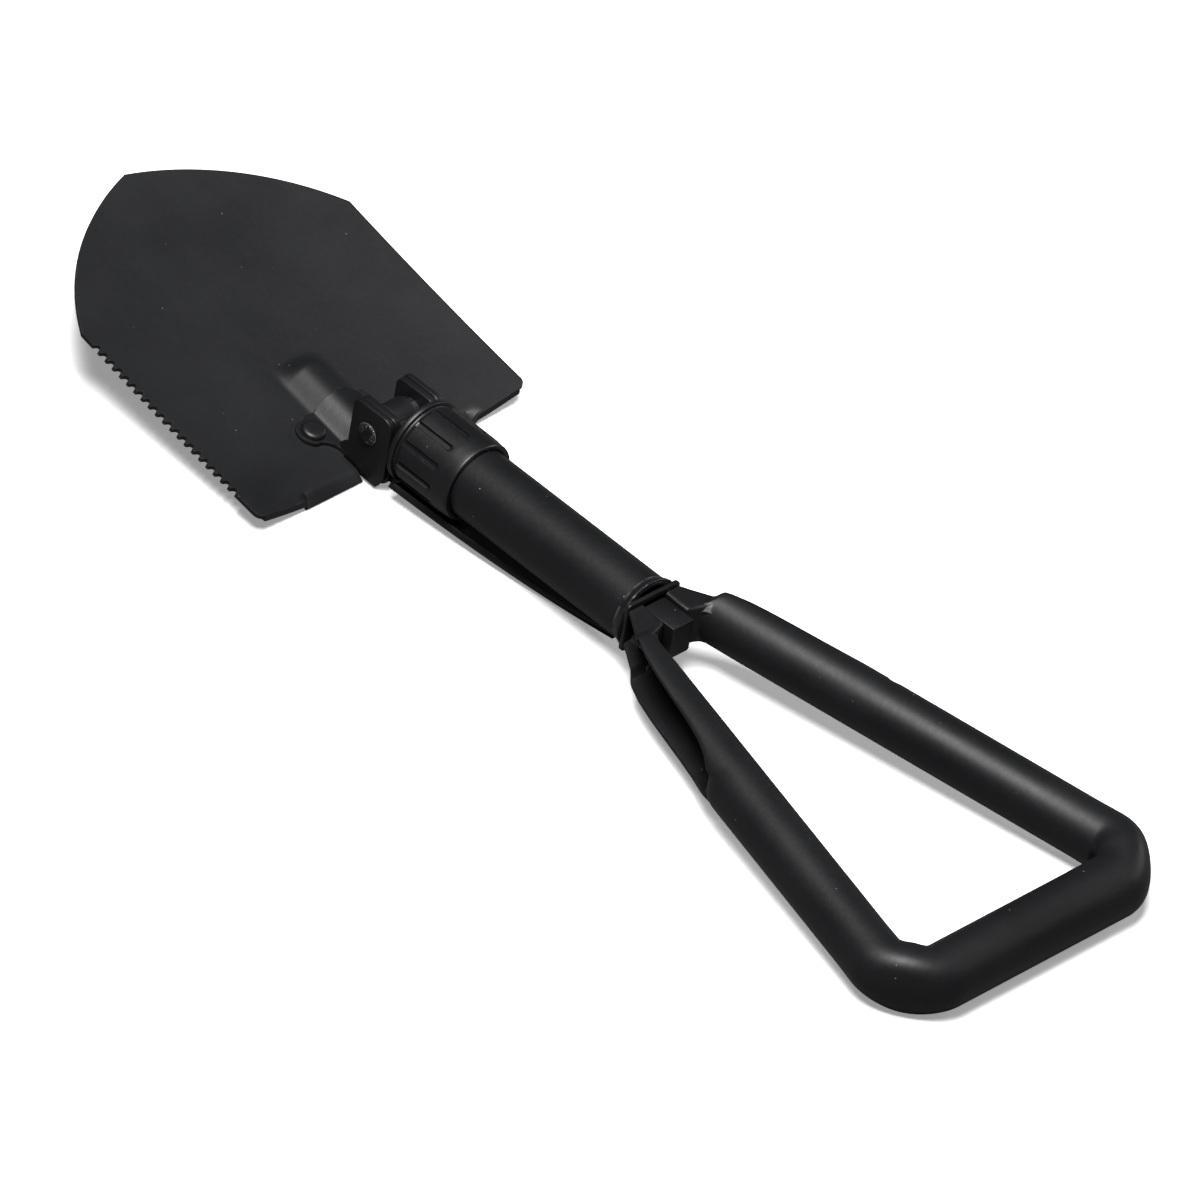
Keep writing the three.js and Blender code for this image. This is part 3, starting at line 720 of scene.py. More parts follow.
@dataclass(frozen=True)
class PowderCoat(Finish):
    """Satin black powder coat over steel."""

    dark: Colour = (0.0040, 0.0042, 0.0047)
    light: Colour = (0.0068, 0.0071, 0.0078)
    # Edge colour: bare metal where rubbed, and also a painted highlight along every edge.
    bare_and_highlight: Colour = (0.16, 0.16, 0.165)
    roughness: float = 0.42
    roughness_swing: float = 0.05
    grain: float = 0.8
    peel: float = 0.7
    bump: float = 0.10
    rub_and_highlight_width: float = 0.0006
    rub_and_highlight: float = 0.25
    lint: float = 0.35
    sheen: float = 0.4

    def mix(self, nodes: NodeSheet, shader: bpy.types.Node) -> None:
        """Joins the finish's nodes to the shader.

        Args:
            nodes: The material's node sheet.
            shader: Its main shader.
        """
        grain = nodes.add("ShaderNodeGroup", node_tree=coat_grain_group())
        grain.inputs["Grain"].default_value = self.grain
        grain.inputs["Peel"].default_value = self.peel
        edge_wear_and_highlight = nodes.add("ShaderNodeGroup", node_tree=worn_and_highlit_edge_group())
        edge_wear_and_highlight.inputs["Width"].default_value = self.rub_and_highlight_width
        edge_wear_and_highlight.inputs["Amount"].default_value = self.rub_and_highlight
        lint = nodes.add("ShaderNodeGroup", node_tree=lint_group())
        lint.inputs["Amount"].default_value = self.lint
        coat = nodes.blend(grain.outputs["Tone"], self.dark, self.light)
        # Worn edges go to bare metal; this also paints a thin highlight along the edges.
        worn_and_highlit_coat = nodes.blend(edge_wear_and_highlight.outputs["Mask"], coat, self.bare_and_highlight)
        dusty = nodes.blend(lint.outputs["Mask"], worn_and_highlit_coat, (0.30, 0.29, 0.28))
        nodes.link(dusty, shader.inputs["Base Color"])
        low, high = self.roughness - self.roughness_swing, self.roughness + self.roughness_swing
        rough = nodes.span(grain.outputs["Gloss"], (-1.6, 1.6), (low, high))
        nodes.link(rough, shader.inputs["Roughness"])
        metal = nodes.span(edge_wear_and_highlight.outputs["Mask"], (0.0, 1.0), (0.0, 0.9))
        nodes.link(metal, shader.inputs["Metallic"])
        bump = nodes.add("ShaderNodeBump", Strength=self.bump, Distance=0.0006)
        nodes.link(grain.outputs["Height"], bump.inputs["Height"])
        nodes.link(bump.outputs["Normal"], shader.inputs["Normal"])
        shader.inputs["Specular IOR Level"].default_value = self.sheen


@dataclass(frozen=True)
class TurnedMetal(Finish):
    """Bare metal with fine tool marks round the shaft's axis."""

    bright: Colour = (0.50, 0.50, 0.51)
    dull: Colour = (0.33, 0.33, 0.34)
    roughness: float = 0.34

    def mix(self, nodes: NodeSheet, shader: bpy.types.Node) -> None:
        """Joins the finish's nodes to the shader.

        Args:
            nodes: The material's node sheet.
            shader: Its main shader.
        """
        place = nodes.add("ShaderNodeTexCoord").outputs["Object"]
        stretch = nodes.add("ShaderNodeMapping")
        stretch.inputs["Scale"].default_value = (3000.0, 40.0, 40.0)
        nodes.link(place, stretch.inputs["Vector"])
        marks = nodes.noise(stretch.outputs["Vector"], 1.0, 2.0)
        stain = nodes.noise(place, 120.0, 4.0)
        colour = nodes.blend(nodes.span(stain, (0.35, 0.65)), self.bright, self.dull)
        nodes.link(colour, shader.inputs["Base Color"])
        streaks = nodes.span(marks, (0.3, 0.7), (-0.06, 0.06))
        stained = nodes.span(stain, (0.35, 0.65), (self.roughness, self.roughness + 0.16))
        nodes.link(nodes.sum("ADD", streaks, stained), shader.inputs["Roughness"])
        bump = nodes.add("ShaderNodeBump", Strength=0.12, Distance=0.0003)
        nodes.link(marks, bump.inputs["Height"])
        nodes.link(bump.outputs["Normal"], shader.inputs["Normal"])
        shader.inputs["Metallic"].default_value = 1.0


BLADE_COAT = PowderCoat(
    "blade_coat",
    dark=(0.0062, 0.0065, 0.0073),
    light=(0.0096, 0.0100, 0.0110),
    sheen=0.3,
    roughness=0.5,
    grain=1.0,
    peel=0.5,
)
PRESSED_COAT = PowderCoat("pressed_coat", roughness=0.4, rub_and_highlight=0.35)
TUBE_COAT = PowderCoat("tube_coat", sheen=0.3, roughness=0.46, grain=0.6, peel=0.9, lint=0.5)
COLLAR_COAT = PowderCoat("collar_coat", roughness=0.4, grain=0.5, rub_and_highlight=0.3, rub_and_highlight_width=0.0004)
# Peened heads: hammered bare, with strong painted highlights on their edges.
PEENED = PowderCoat(
    "peened_coat",
    roughness=0.3,
    rub_and_highlight=1.0,
    rub_and_highlight_width=0.0009,
    bare_and_highlight=(0.4, 0.4, 0.41),
    bump=0.35,
    peel=1.5,
)
BRIGHT_STEEL = TurnedMetal("bright_steel")
OILED_STEEL = TurnedMetal(
    "oiled_steel", bright=(0.085, 0.086, 0.09), dull=(0.04, 0.04, 0.042), roughness=0.42
)
TURNED_BRASS = TurnedMetal(
    "turned_brass", bright=(0.55, 0.40, 0.17), dull=(0.36, 0.25, 0.10), roughness=0.38
)


def dress_cad(node: str, slot: Slot, finish: Finish) -> None:
    """Gives a CAD node that stays its finished material.

    Args:
        node: The node's name.
        slot: The material slot; not used.
        finish: Its finish.
    """
    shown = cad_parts[node]
    for holder in shown.material_slots:
        holder.material = finish.material()
    LOG.info("%s keeps its CAD shape", node)


# ------------------------------------------------------------------ blade
# How deep a tooth's gullet is, as a share of its depth, at shares of its length.
GULLET_KNOTS = ((0.0, 0.0), (0.15, 0.75), (0.3, 0.95), (0.45, 1.0), (0.6, 0.92), (0.75, 0.6), (1.0, 0.0))
# Where the lengthwise lines of the blade run, from the rib's edge to the blade's.
OUTER_LANES = (
    16.2, 18.4, 21, 24, 28, 32, 37, 42.5, 47.5, 51, 54.5,
    58, 62, 65.5, 68.5, 71, 73, 74.9, 76.3, 77.4, 78.4,
)


@dataclass
class Blade:
    """The pressed blade: dished, curled up to the tip, with a domed rib, saw teeth and folded lips."""

    rear_x: float = -155.0
    shoulder_x: float = -269.3
    tip_x: float = -329.1
    half_width: float = 78.4
    front_radius: float = 127.0
    thickness: float = 2.0
    dish: float = 7.6
    dish_fade: float = 0.35
    rear_z: float = -22.8
    tip_z: float = 17.9
    curl: float = 0.25
    corner_radius: float = 3.5
    rib_half_width: float = 13.0
    rib_height: float = 6.2
    rib_front: float = -221.0
    rib_dome: float = 12.0
    rib_power: float = 1.6
    rib_lane: float = 1.35
    edge_band: float = 62.0
    slot_half_width: float = 16.2
    slot_x: float = -168.5
    notch_y: float = 47.5
    notch_x: float = -160.0
    lip_depth: float = 3.3
    lip_lean: float = 0.15
    tread_steps: int = 4
    tread_step: float = 1.25
    tread_rise: float = 0.9
    ground_z: float = -26.0
    teeth: int = 20
    teeth_from: float = -263.5
    pitch: float = 4.65
    tooth_depth: float = 2.7
    tooth_flat: float = 1.5

    def rib(self, x: float, y: float) -> float:
        """Height of the pressed rib at a point in plan."""
        side = max(0.0, 1 - (y / self.rib_half_width) ** 2) ** self.rib_power
        return self.rib_height * side * smooth((x - self.rib_front) / self.rib_dome)

    def top(self, x: float, y: float) -> float:
        """Height of the blade's upper face at a point in plan.

        Args:
            x: The station.
            y: Distance across.

        Returns:
            The height.
        """
        t = (self.rear_x - x) / (self.rear_x - self.tip_x)
        rise = (1 - self.curl) * t + self.curl * t * t
        dish = self.dish * (y / self.half_width) ** 2 * (1 - self.dish_fade * t)
        return self.rear_z + (self.tip_z - self.rear_z) * rise + dish + self.rib(x, y)

    def front_half_width(self, x: float) -> float:
        """Half the blade's width at a station, along the pointed front's arcs.

        Args:
            x: The station.

        Returns:
            The half width.
        """
        if x >= self.shoulder_x:
            return self.half_width
        chord = Vector((self.tip_x - self.shoulder_x, -self.half_width))
        normal = Vector((-chord.y, chord.x)).normalized()
        reach = math.sqrt(self.front_radius**2 - (chord.length / 2) ** 2)
        middle = Vector((self.shoulder_x, self.half_width)) + chord / 2
        centre = middle + normal * reach
        if centre.y >= middle.y:
            centre = middle - normal * reach
        lift = max(0.0, self.front_radius**2 - (x - centre.x) ** 2)
        return max(0.0, centre.y + math.sqrt(lift))

    def gullet(self, x: float) -> float:
        """How far the saw side is cut in at a station.

        Args:
            x: The station.

        Returns:
            The depth of the cut.
        """
        along = x - self.teeth_from
        if along < 0 or along > self.teeth * self.pitch:
            return 0.0
        share = (along % self.pitch - self.tooth_flat) / (self.pitch - self.tooth_flat)
        if share <= 0 or share >= 1:
            return 0.0
        knots = GULLET_KNOTS
        for (s0, d0), (s1, d1) in zip(knots, knots[1:]):
            if s0 <= share <= s1:
                return self.tooth_depth * mix(d0, d1, (share - s0) / (s1 - s0))
        return 0.0

    def stations(self) -> list[float]:
        """Stations along the blade: close at the tip, at each tooth and at the rear steps.

        Returns:
            The stations, from the tip to the rear.
        """
        reach = self.shoulder_x - self.tip_x
        xs = [self.tip_x + reach * (i / 30) ** 1.35 for i in range(31)]
        xs.append(mix(self.shoulder_x, self.teeth_from, 0.5))
        gap = self.pitch - self.tooth_flat
        for tooth in range(self.teeth):
            start = self.teeth_from + tooth * self.pitch
            xs += [start, start + self.tooth_flat]
            xs += [start + self.tooth_flat + share * gap for share, _ in GULLET_KNOTS[1:-1]]
        last = self.teeth_from + self.teeth * self.pitch
        xs += [last, self.slot_x, -166.4, -164.2, -162.0, self.notch_x]
        for angle in (0, 18, 36, 54, 72):
            xs.append(self.rear_x - self.corner_radius * (1 - math.sin(math.radians(angle))))
        return xs + [self.rear_x]

    def lanes(self) -> list[float]:
        """Lanes across the blade: close over the rib and along both edges.

        Returns:
            The lanes, from the saw side to the plain side.
        """
        half = [i * self.rib_lane for i in range(12)]
        half += OUTER_LANES
        return [-y for y in reversed(half[1:])] + half

    def place(self, x: float, lane: float) -> Triple:
        """Puts a crossing of the grid on the blade.

        Args:
            x: The station.
            lane: The lane.

        Returns:
            The point.
        """
        width = self.front_half_width(x)
        y = lane * width / self.half_width
        outer = max(0.0, (abs(lane) - self.edge_band) / (self.half_width - self.edge_band))
        if lane < 0:
            y += self.gullet(x) * outer**1.5
        into_corner = (x - (self.rear_x - self.corner_radius)) / self.corner_radius
        if into_corner > 0:
            cut = self.corner_radius * (1 - math.sqrt(max(0.0, 1 - into_corner**2)))
            y -= math.copysign(cut * outer, lane)
        return (x, y, self.top(x, y))

    def build(self) -> Blank:
        """Presses the sheet, cuts its rear, folds its lips and thickens it.

        Returns:
            The blade.
        """
        blank = sheet("blade_sheet", self.stations(), self.lanes(), self.place)
        slot, notch = self.slot_half_width, self.notch_y
        blank.edit("FACE", lambda f: self.cut_away(f.calc_center_median()))
        bpy.ops.mesh.delete(type="FACE")
        blank.edit("EDGE", lambda e: self.on_rear(e, self.rear_x, notch - 0.1, self.half_width - 3.4))
        bpy.ops.mesh.extrude_edges_move(TRANSFORM_OT_translate={"value": (self.lip_lean, 0, -self.lip_depth)})
        blank.edit("EDGE", lambda e: self.on_rear(e, self.notch_x, slot - 0.1, notch + 0.1))
        for _ in range(self.tread_steps):
            bpy.ops.mesh.extrude_edges_move(TRANSFORM_OT_translate={"value": (self.tread_step, 0, 0)})
        clear_bench()
        blank.reshape(self.slope_tread)
        floor = self.ground_z + 0.05
        blank.reshape(lambda co: (co.x, co.y, max(co.z, floor)))
        blank.edit("VERT")
        bpy.ops.mesh.remove_doubles(threshold=0.02)
        bpy.ops.mesh.select_all(action="SELECT")
        bpy.ops.mesh.normals_make_consistent(inside=False)
        clear_bench()
        if sum(f.normal.z * f.area for f in blank.object.data.polygons) < 0:
            blank.edit("FACE")
            bpy.ops.mesh.flip_normals()
            clear_bench()
        blank.modify("SOLIDIFY", thickness=self.thickness, offset=-1.0)
        blank.reshape(lambda co: (co.x, co.y, max(co.z, self.ground_z)))
        return blank.ease_edges(0.35, 2, 50)

    def slope_tread(self, co: Vector) -> Sequence[float]:
        """Slopes the strip behind a notch down to the ground as a boot tread.

        Args:
            co: The point.

        Returns:
            Where it goes.
        """
        share = (co.x - self.notch_x) / (self.rear_x - self.notch_x)
        if share < 0.05 or abs(co.y) > self.notch_y + 0.1:
            return co
        bend = min(1.0, 1.12 * max(0.0, share - 0.1))
        return (co.x, co.y, mix(co.z, self.ground_z + self.tread_rise, bend))

    def cut_away(self, centre: Vector) -> bool:
        """True for a face in the rear slot or in one of the two notches."""
        in_slot = centre.x > self.slot_x and abs(centre.y) < self.slot_half_width
        return in_slot or (centre.x > self.notch_x and abs(centre.y) < self.notch_y)

    @staticmethod
    def on_rear(edge: bmesh.types.BMEdge, x: float, near: float, far: float) -> bool:
        """True for a free edge at a station between two distances from the middle.

        Args:
            edge: The edge.
            x: The station.
            near: The nearer distance.
            far: The farther one.

        Returns:
            Whether the edge is one of them.
        """
        if not edge.is_boundary:
            return False
        return all(abs(v.co.x - x) < 0.05 and near <= abs(v.co.y) <= far for v in edge.verts)

    def make(self) -> None:
        """Builds and dresses the blade."""
        self.build().settle(Body.BLADE, Slot.COAT, BLADE_COAT, ["blade"], 40)


# ------------------------------------------------------------------ bracket
@dataclass
class BladeBracket:
    """The pressed saddle over the rib, with two riveted ears and two hinge cheeks."""

    blade: Blade
    hinge_x: float = -157.0
    front_x: float = -192.0
    rear_x: float = -168.0
    thickness: float = 1.6
    lift: float = 0.35
    ears: tuple[Pair, Pair] = ((-184.0, 20.3), (-168.5, 25.0))
    ear_radius: float = 7.3
    cheek_inner: float = 12.9
    cheek_outer: float = 15.6
    cheek_top: float = 12.5
    rivet_radius: float = 5.6
    rivet_height: float = 2.1
    shank_radius: float = 2.5

    def saddle_outline(self) -> list[Pair]:
        """The saddle in plan: the left ear beside the rib, the right one by the hinge.

        Returns:
            The outline's points.
        """
        (left_x, left_y), (right_x, right_y) = self.ears
        left = [(self.rear_x, 15.6), (-171.0, 15.7), (-173.5, 16.6), (-175.6, 18.2), (-177.2, 20.6)]
        left += arc(left_x, left_y, self.ear_radius, 22, 158, 16)
        left += [(-191.4, 19.0), (-192.0, 16.4), (self.front_x, 12.0), (self.front_x - 0.4, 6.0)]
        right = [(self.rear_x, 15.6), (-164.5, 17.6)]
        right += arc(right_x, right_y, self.ear_radius, -55, 205, 26)
        right += [(-179.0, 18.6), (-185.0, 16.8), (-192.0, 15.4)]
        right += [(self.front_x, 12.0), (self.front_x - 0.4, 6.0)]
        return right + [(x, -y) for x, y in reversed(left)]

    def build_saddle(self) -> Blank:
        """Presses a sheet over the rib and cuts it to the saddle's outline.

        Returns:
            The saddle.
        """
        low, high = self.front_x - 3, self.rear_x + 9
        grid = sheet(
            "bracket",
            spread(low, high, 40),
            spread(-30.0, 34.0, 80),
            lambda x, y: (x, y, self.blade.top(x, y) + self.lift),
        )
        if sum(f.normal.z for f in grid.object.data.polygons) < 0:
            grid.edit("FACE")
            bpy.ops.mesh.flip_normals()
        grid.modify("SOLIDIFY", thickness=self.thickness, offset=1.0)
        outline = plate("saddle_cutter", self.saddle_outline(), Axis.Z, -60, 40)
        return grid.combine(outline, "INTERSECT").face_outwards().ease_edges(0.4, 2, 55)

    def cheek_outline(self) -> list[Pair]:
        """A cheek from the side: three straight flanks, rounded at its free corners.

        Returns:
            The outline's points.
        """
        x = self.hinge_x
        outline = [(x + 8, -24.5), (x + 12, -17.5)]
        outline += arc(x + 7, self.cheek_top - 5, 5, 0, 90, 6)
        outline += arc(x - 7.6, self.cheek_top - 3.4, 3.4, 90, 180, 6)
        return outline + [(x - 11, -12), (x - 15, -15), (x - 15, -23.5)]

    def build(self) -> Blank:
        """Makes the saddle and its cheeks as one pressed bracket.

        Returns:
            The bracket.
        """
        bracket = self.build_saddle()
        for name, side in SIDES:
            low, high = sorted((side * self.cheek_inner, side * self.cheek_outer))
            cheek = plate(f"cheek_{name}", self.cheek_outline(), Axis.Y, low, high)
            bracket.join(cheek.ease_edges(0.45, 3, 40))
        return bracket

    def ear_frame(self, side: int) -> Matrix:
        """A frame that stands square on the blade beside the rib, for a rivet.

        Args:
            side: -1 for the left, 1 for the right.

        Returns:
            The frame, whose X is square to the blade.
        """
        x, away = self.ears[side > 0]
        y, step = side * away, 1.0
        top = self.blade.top
        slope_x = (top(x + step, y) - top(x - step, y)) / (2 * step)
        slope_y = (top(x, y + step) - top(x, y - step)) / (2 * step)
        normal = Vector((-slope_x, -slope_y, 1.0)).normalized()
        turn = Vector((1, 0, 0)).rotation_difference(normal).to_matrix().to_4x4()
        return Matrix.Translation((x, y, top(x, y))) @ turn

    def build_rivet(self, name: str, side: int) -> Blank:
        """Turns a low button-head rivet and stands it on its ear.

        Args:
            name: Its name.
            side: -1 for the left, 1 for the right.

        Returns:
            The rivet.
        """
        seat = self.lift + self.thickness + 0.1
        under = -self.blade.thickness - 0.3
        radius, height = self.rivet_radius, self.rivet_height
        profile = [
            (under - 1.4, radius - 2.4), (under - 1.1, radius - 1.6), (under, radius - 1.0),
            (under, self.shank_radius), (seat, self.shank_radius), (seat, radius - 0.1),
            (seat + 0.25, radius), (seat + 0.5 * height, radius - 0.15),
            (seat + 0.78 * height, radius - 0.6), (seat + 0.95 * height, radius - 1.5),
            (seat + height, radius - 2.8), (seat + height * 0.97, 1.2),
        ]
        return turned(name, profile, 48).turn(self.ear_frame(side))

    def make(self) -> None:
        """Builds and dresses the bracket and its rivets."""
        self.build().settle(Body.BLADE, Slot.COAT, PRESSED_COAT, ["blade_bracket"], 40)
        for name, side in SIDES:
            rivet = self.build_rivet(f"ear_rivet_{name}", side)
            rivet.settle(Body.BLADE, Slot.COAT_SMOOTH, PRESSED_COAT, [f"bracket_rivet_{name}"])


# ------------------------------------------------------------------ hinge core
@dataclass
class HingeCore:
    """The two inner hinge plates, the bar's knuckle and the cross pins."""

    x: float = -157.0
    pick_x: float = -150.0
    pick_z: float = -18.5
    plate_inner: float = 9.3
    plate_outer: float = 12.6
    knuckle_radius: float = 8.6
    neck_end: float = -148.3
    pin_radius: float = 3.6
    pin_reach: float = 15.9
    head_radius: float = 5.2

    def plate_outline(self) -> list[Pair]:
        """A hinge plate from the side, with its lower lug for the pick's pin.

        Returns:
            The outline's points.
        """
        outline = arc(self.x + 8, 8.3, 4, 0, 90, 6)
        outline += arc(self.x - 7, 8.3, 4, 90, 180, 6)
        outline += arc(self.x - 7, -8, 4, 180, 252, 5)
        outline += arc(self.pick_x, self.pick_z, 5, 198, 360, 12)
        return outline

    def build_knuckle(self) -> Blank:
        """The bar's eye, with its squared neck.

        Returns:
            The knuckle.
        """
        radius = self.knuckle_radius
        eye_profile = [(-6, radius - 0.8), (-5.3, radius), (5.3, radius), (6, radius - 0.8)]
        eye = cross_rod("bar_knuckle_eye", eye_profile, self.x, 0, 64)
        neck = plate("neck", rounded_rectangle(5, 5, 0.8), Axis.X, self.x + 2, self.neck_end)
        return eye.join(neck)

    def build_pin(self) -> Blank:
        """The hinge pin with two peened heads.

        Returns:
            The pin.
        """
        r, head = self.pin_reach, self.head_radius
        half = [(r, head - 0.3), (r + 0.5, head), (r + 0.95, head - 0.5)]
        half += [(r + 1.35, head - 1.6), (r + 1.55, head - 3.0), (r + 1.45, 1.0)]
        shank = [(-r, self.pin_radius), (r, self.pin_radius)]
        profile = [(-y, radius) for y, radius in reversed(half)] + shank + half
        pin = cross_rod("hinge_pin_peened", profile, self.x, 0, 40)
        pin.modify("SUBSURF", subdivision_type="SIMPLE", levels=2, render_levels=2)

        def hammer(co: Vector) -> Sequence[float]:
            """Dents the heads as a peening hammer does.

            Args:
                co: The point.

            Returns:
                Where it goes.
            """
            if abs(co.y) < r + 0.3:
                return co
            away = Vector((co.x - self.x, 0, co.z))
            rough = noise.noise(Vector((co.x * 0.55, co.y * 0.2, co.z * 0.55)))
            fine = noise.noise(Vector((co.x * 1.6, 7.0, co.z * 1.6)))
            push = 0.45 * rough + 0.30 * fine
            return co + Vector((0, math.copysign(push, co.y), 0)) + away * 0.02 * rough

        return pin.reshape(hammer)

    def make(self) -> None:
        """Builds and dresses the core's pieces."""
        for name, side in SIDES:
            low, high = sorted((side * self.plate_inner, side * self.plate_outer))
            blank = plate(f"hinge_plate_pressed_{name}", self.plate_outline(), Axis.Y, low, high)
            blank.ease_edges(0.4, 3, 40)
            blank.settle(Body.CORE, Slot.COAT, PRESSED_COAT, [f"hinge_plate_{name}"])
            dress_cad(f"hinge_spacer_{name}", Slot.STEEL, OILED_STEEL)
        self.build_knuckle().settle(Body.CORE, Slot.DARK_STEEL, PRESSED_COAT, ["bar_knuckle"])
        self.build_pin().settle(Body.CORE, Slot.COAT_SMOOTH, PEENED, ["hinge_pin"])
        dress_cad("pick_pin", Slot.COAT_SMOOTH, OILED_STEEL)
        dress_cad("pull_bar", Slot.STEEL, BRIGHT_STEEL)


# ------------------------------------------------------------------ pick
@dataclass
class StowedPick:
    """The pick: a tapering trough under the shaft, with two lugs on its own pin."""

    pin_x: float = -150.0
    pin_z: float = -18.5
    lug_inner: float = 6.5
    lug_outer: float = 9.0
    lug_radius: float = 4.4
    inner_radius: float = 21.4
    outer_radius: float = 24.4
    root_x: float = -141.0
    tip_x: float = -18.0
    root_half_width: float = 14.5
    middle_share: float = 0.72
    tip_half_width: float = 0.7

    def half_width(self, x: float) -> float:
        """Half the pick's width at a station.

        Args:
            x: The station.

        Returns:
            The half width.
        """
        t = (x - self.root_x) / (self.tip_x - self.root_x)
        root, tip = self.root_half_width, self.tip_half_width
        middle = self.middle_share * root
        return root * (1 - t) ** 2 + 2 * middle * t * (1 - t) + tip * t * t

    def place(self, x: float, lane: float) -> Triple:
        """Puts a crossing of the grid on the trough's inner face.

        Args:
            x: The station.
            lane: The share of the half width.

        Returns:
            The point.
        """
        y = lane * self.half_width(x)
        return (x, y, -math.sqrt(self.inner_radius**2 - y * y))

    def build(self) -> Blank:
        """Forms the trough, thickens it, thins its tip and adds the lugs.

        Returns:
            The pick.
        """
        along, lanes = spread(self.root_x, self.tip_x, 48), spread(-1.0, 1.0, 16)
        trough = sheet("stowed_pick", along, lanes, self.place)
        if sum(f.normal.z for f in trough.object.data.polygons) < 0:
            trough.edit("FACE")
            bpy.ops.mesh.flip_normals()
        depth = self.outer_radius - self.inner_radius
        trough.modify("SOLIDIFY", thickness=depth, offset=-1.0)
        trough.ease_edges(0.5, 2, 50)
        for name, side in SIDES:
            lug = arc(self.pin_x, self.pin_z, self.lug_radius, 81, 270, 14)
            end = self.root_x + 3
            lug += [(end, -self.outer_radius + 1.1), (end, -self.inner_radius + 0.9)]
            low, high = sorted((side * self.lug_inner, side * self.lug_outer))
            trough.join(plate(f"lug_{name}", lug, Axis.Y, low, high).ease_edges(0.3, 2, 50))
        return trough

    def make(self) -> None:
        """Builds and dresses the pick."""
        self.build().settle(Body.PICK, Slot.COAT, PRESSED_COAT, ["pick"])


# ------------------------------------------------------------------ collar
@dataclass
class LockingCollar:
    """The fluted collar nut, with the ring it presses and the clip that keeps it."""

    front_x: float = -141.4
    rear_x: float = -106.0
    flange_radius: float = 19.9
    neck_radius: float = 17.9
    pad_radius: float = 19.3
    rear_radius: float = 18.9
    bore_radius: float = 16.4
    mouth_radius: float = 17.0
    thread_radius: float = 15.7
    mouth_to: float = -136.0
    thread_from: float = -134.2
    thread_to: float = -120.2
    bore_to: float = -120.0
    flutes: int = 12
    flute_phase: float = 0.0
    flute_half_angle: float = 5.2
    flute_depth: float = 1.5
    flute_from: float = -136.2
    flute_to: float = -115.5
    segments: int = 432

    def outer_profile(self) -> list[Pair]:
        """The collar's outer line from its mouth over the flange and pads to its rear.

        Returns:
            The line as (x, radius) pairs.
        """
        f, r = self.front_x, self.rear_x
        flange, neck = self.flange_radius, self.neck_radius
        pad, rear = self.pad_radius, self.rear_radius
        line = [(f + 0.1, self.mouth_radius), (f, self.mouth_radius + 0.3), (f, flange - 0.55)]
        line += [(f + 0.18, flange - 0.16), (f + 0.55, flange)]
        line += [(f + 2.2, flange), (f + 2.6, flange - 0.25)]
        line += [(f + 2.85, neck + 0.2), (f + 3.1, neck), (f + 4.0, neck)]
        line += [(f + 4.3, neck + 0.15), (f + 5.0, pad - 0.25), (f + 5.4, pad)]
        line += [(x, pad) for x in spread(f + 6.1, self.flute_to + 1.2, 26)]
        line += [(self.flute_to + 3.5, pad - 0.05), (r - 3.0, rear + 0.05)]
        line += [(r - 0.9, rear), (r - 0.35, rear - 0.14), (r, rear - 0.5)]
        return line + [(r, self.bore_radius + 0.4), (r - 0.3, self.bore_radius)]

    def flute(self, x: float, angle: float) -> float:
        """Depth of the nearest flute at a place on the collar, from 0 to 1.

        Args:
            x: The station.
            angle: The angle round the axis, in radians.

        Returns:
            The depth.
        """
        step = 2 * math.pi / self.flutes
        off = (angle / step - self.flute_phase) % 1.0
        off = min(off, 1 - off) * step * self.pad_radius
        half = math.radians(self.flute_half_angle) * self.pad_radius
        beyond = max(0.0, x - (self.flute_to - half))
        reach = math.hypot(off, beyond)
        return smooth((half - reach) / (0.42 * half)) if reach < half else 0.0

    def build(self) -> Blank:
        """Turns the collar and presses its flutes.

        Returns:
            The collar.
        """
        inner = [(self.bore_to, self.bore_radius), (self.thread_to, self.thread_radius)]
        inner += [(self.thread_from, self.thread_radius), (self.mouth_to, self.mouth_radius)]
        profile = self.outer_profile() + inner
        collar = turned("collar_fluted", profile, self.segments, closed=True)

        def press(co: Vector) -> Sequence[float]:
            """Sinks a point of the outer face into its flute.

            Args:
                co: The point.

            Returns:
                Where it goes.
            """
            radius = math.hypot(co.y, co.z)
            fluted = self.flute_from - 1.4 < co.x < self.flute_to + 1.5
            if radius < self.neck_radius + 0.4 or not fluted:
                return co
            sink = self.flute_depth * self.flute(co.x, math.atan2(co.z, co.y))
            sink = min(sink, radius - self.neck_radius + 0.1)
            return (co.x, co.y * (radius - sink) / radius, co.z * (radius - sink) / radius)

        return collar.reshape(press)

    def make(self) -> None:
        """Builds and dresses the collar."""
        self.build().settle(Body.COLLAR, Slot.COAT_SMOOTH, COLLAR_COAT, ["collar_nut"], 42)
        dress_cad("thrust_ring", Slot.STEEL, OILED_STEEL)
        dress_cad("collar_clip", Slot.DARK_STEEL, OILED_STEEL)


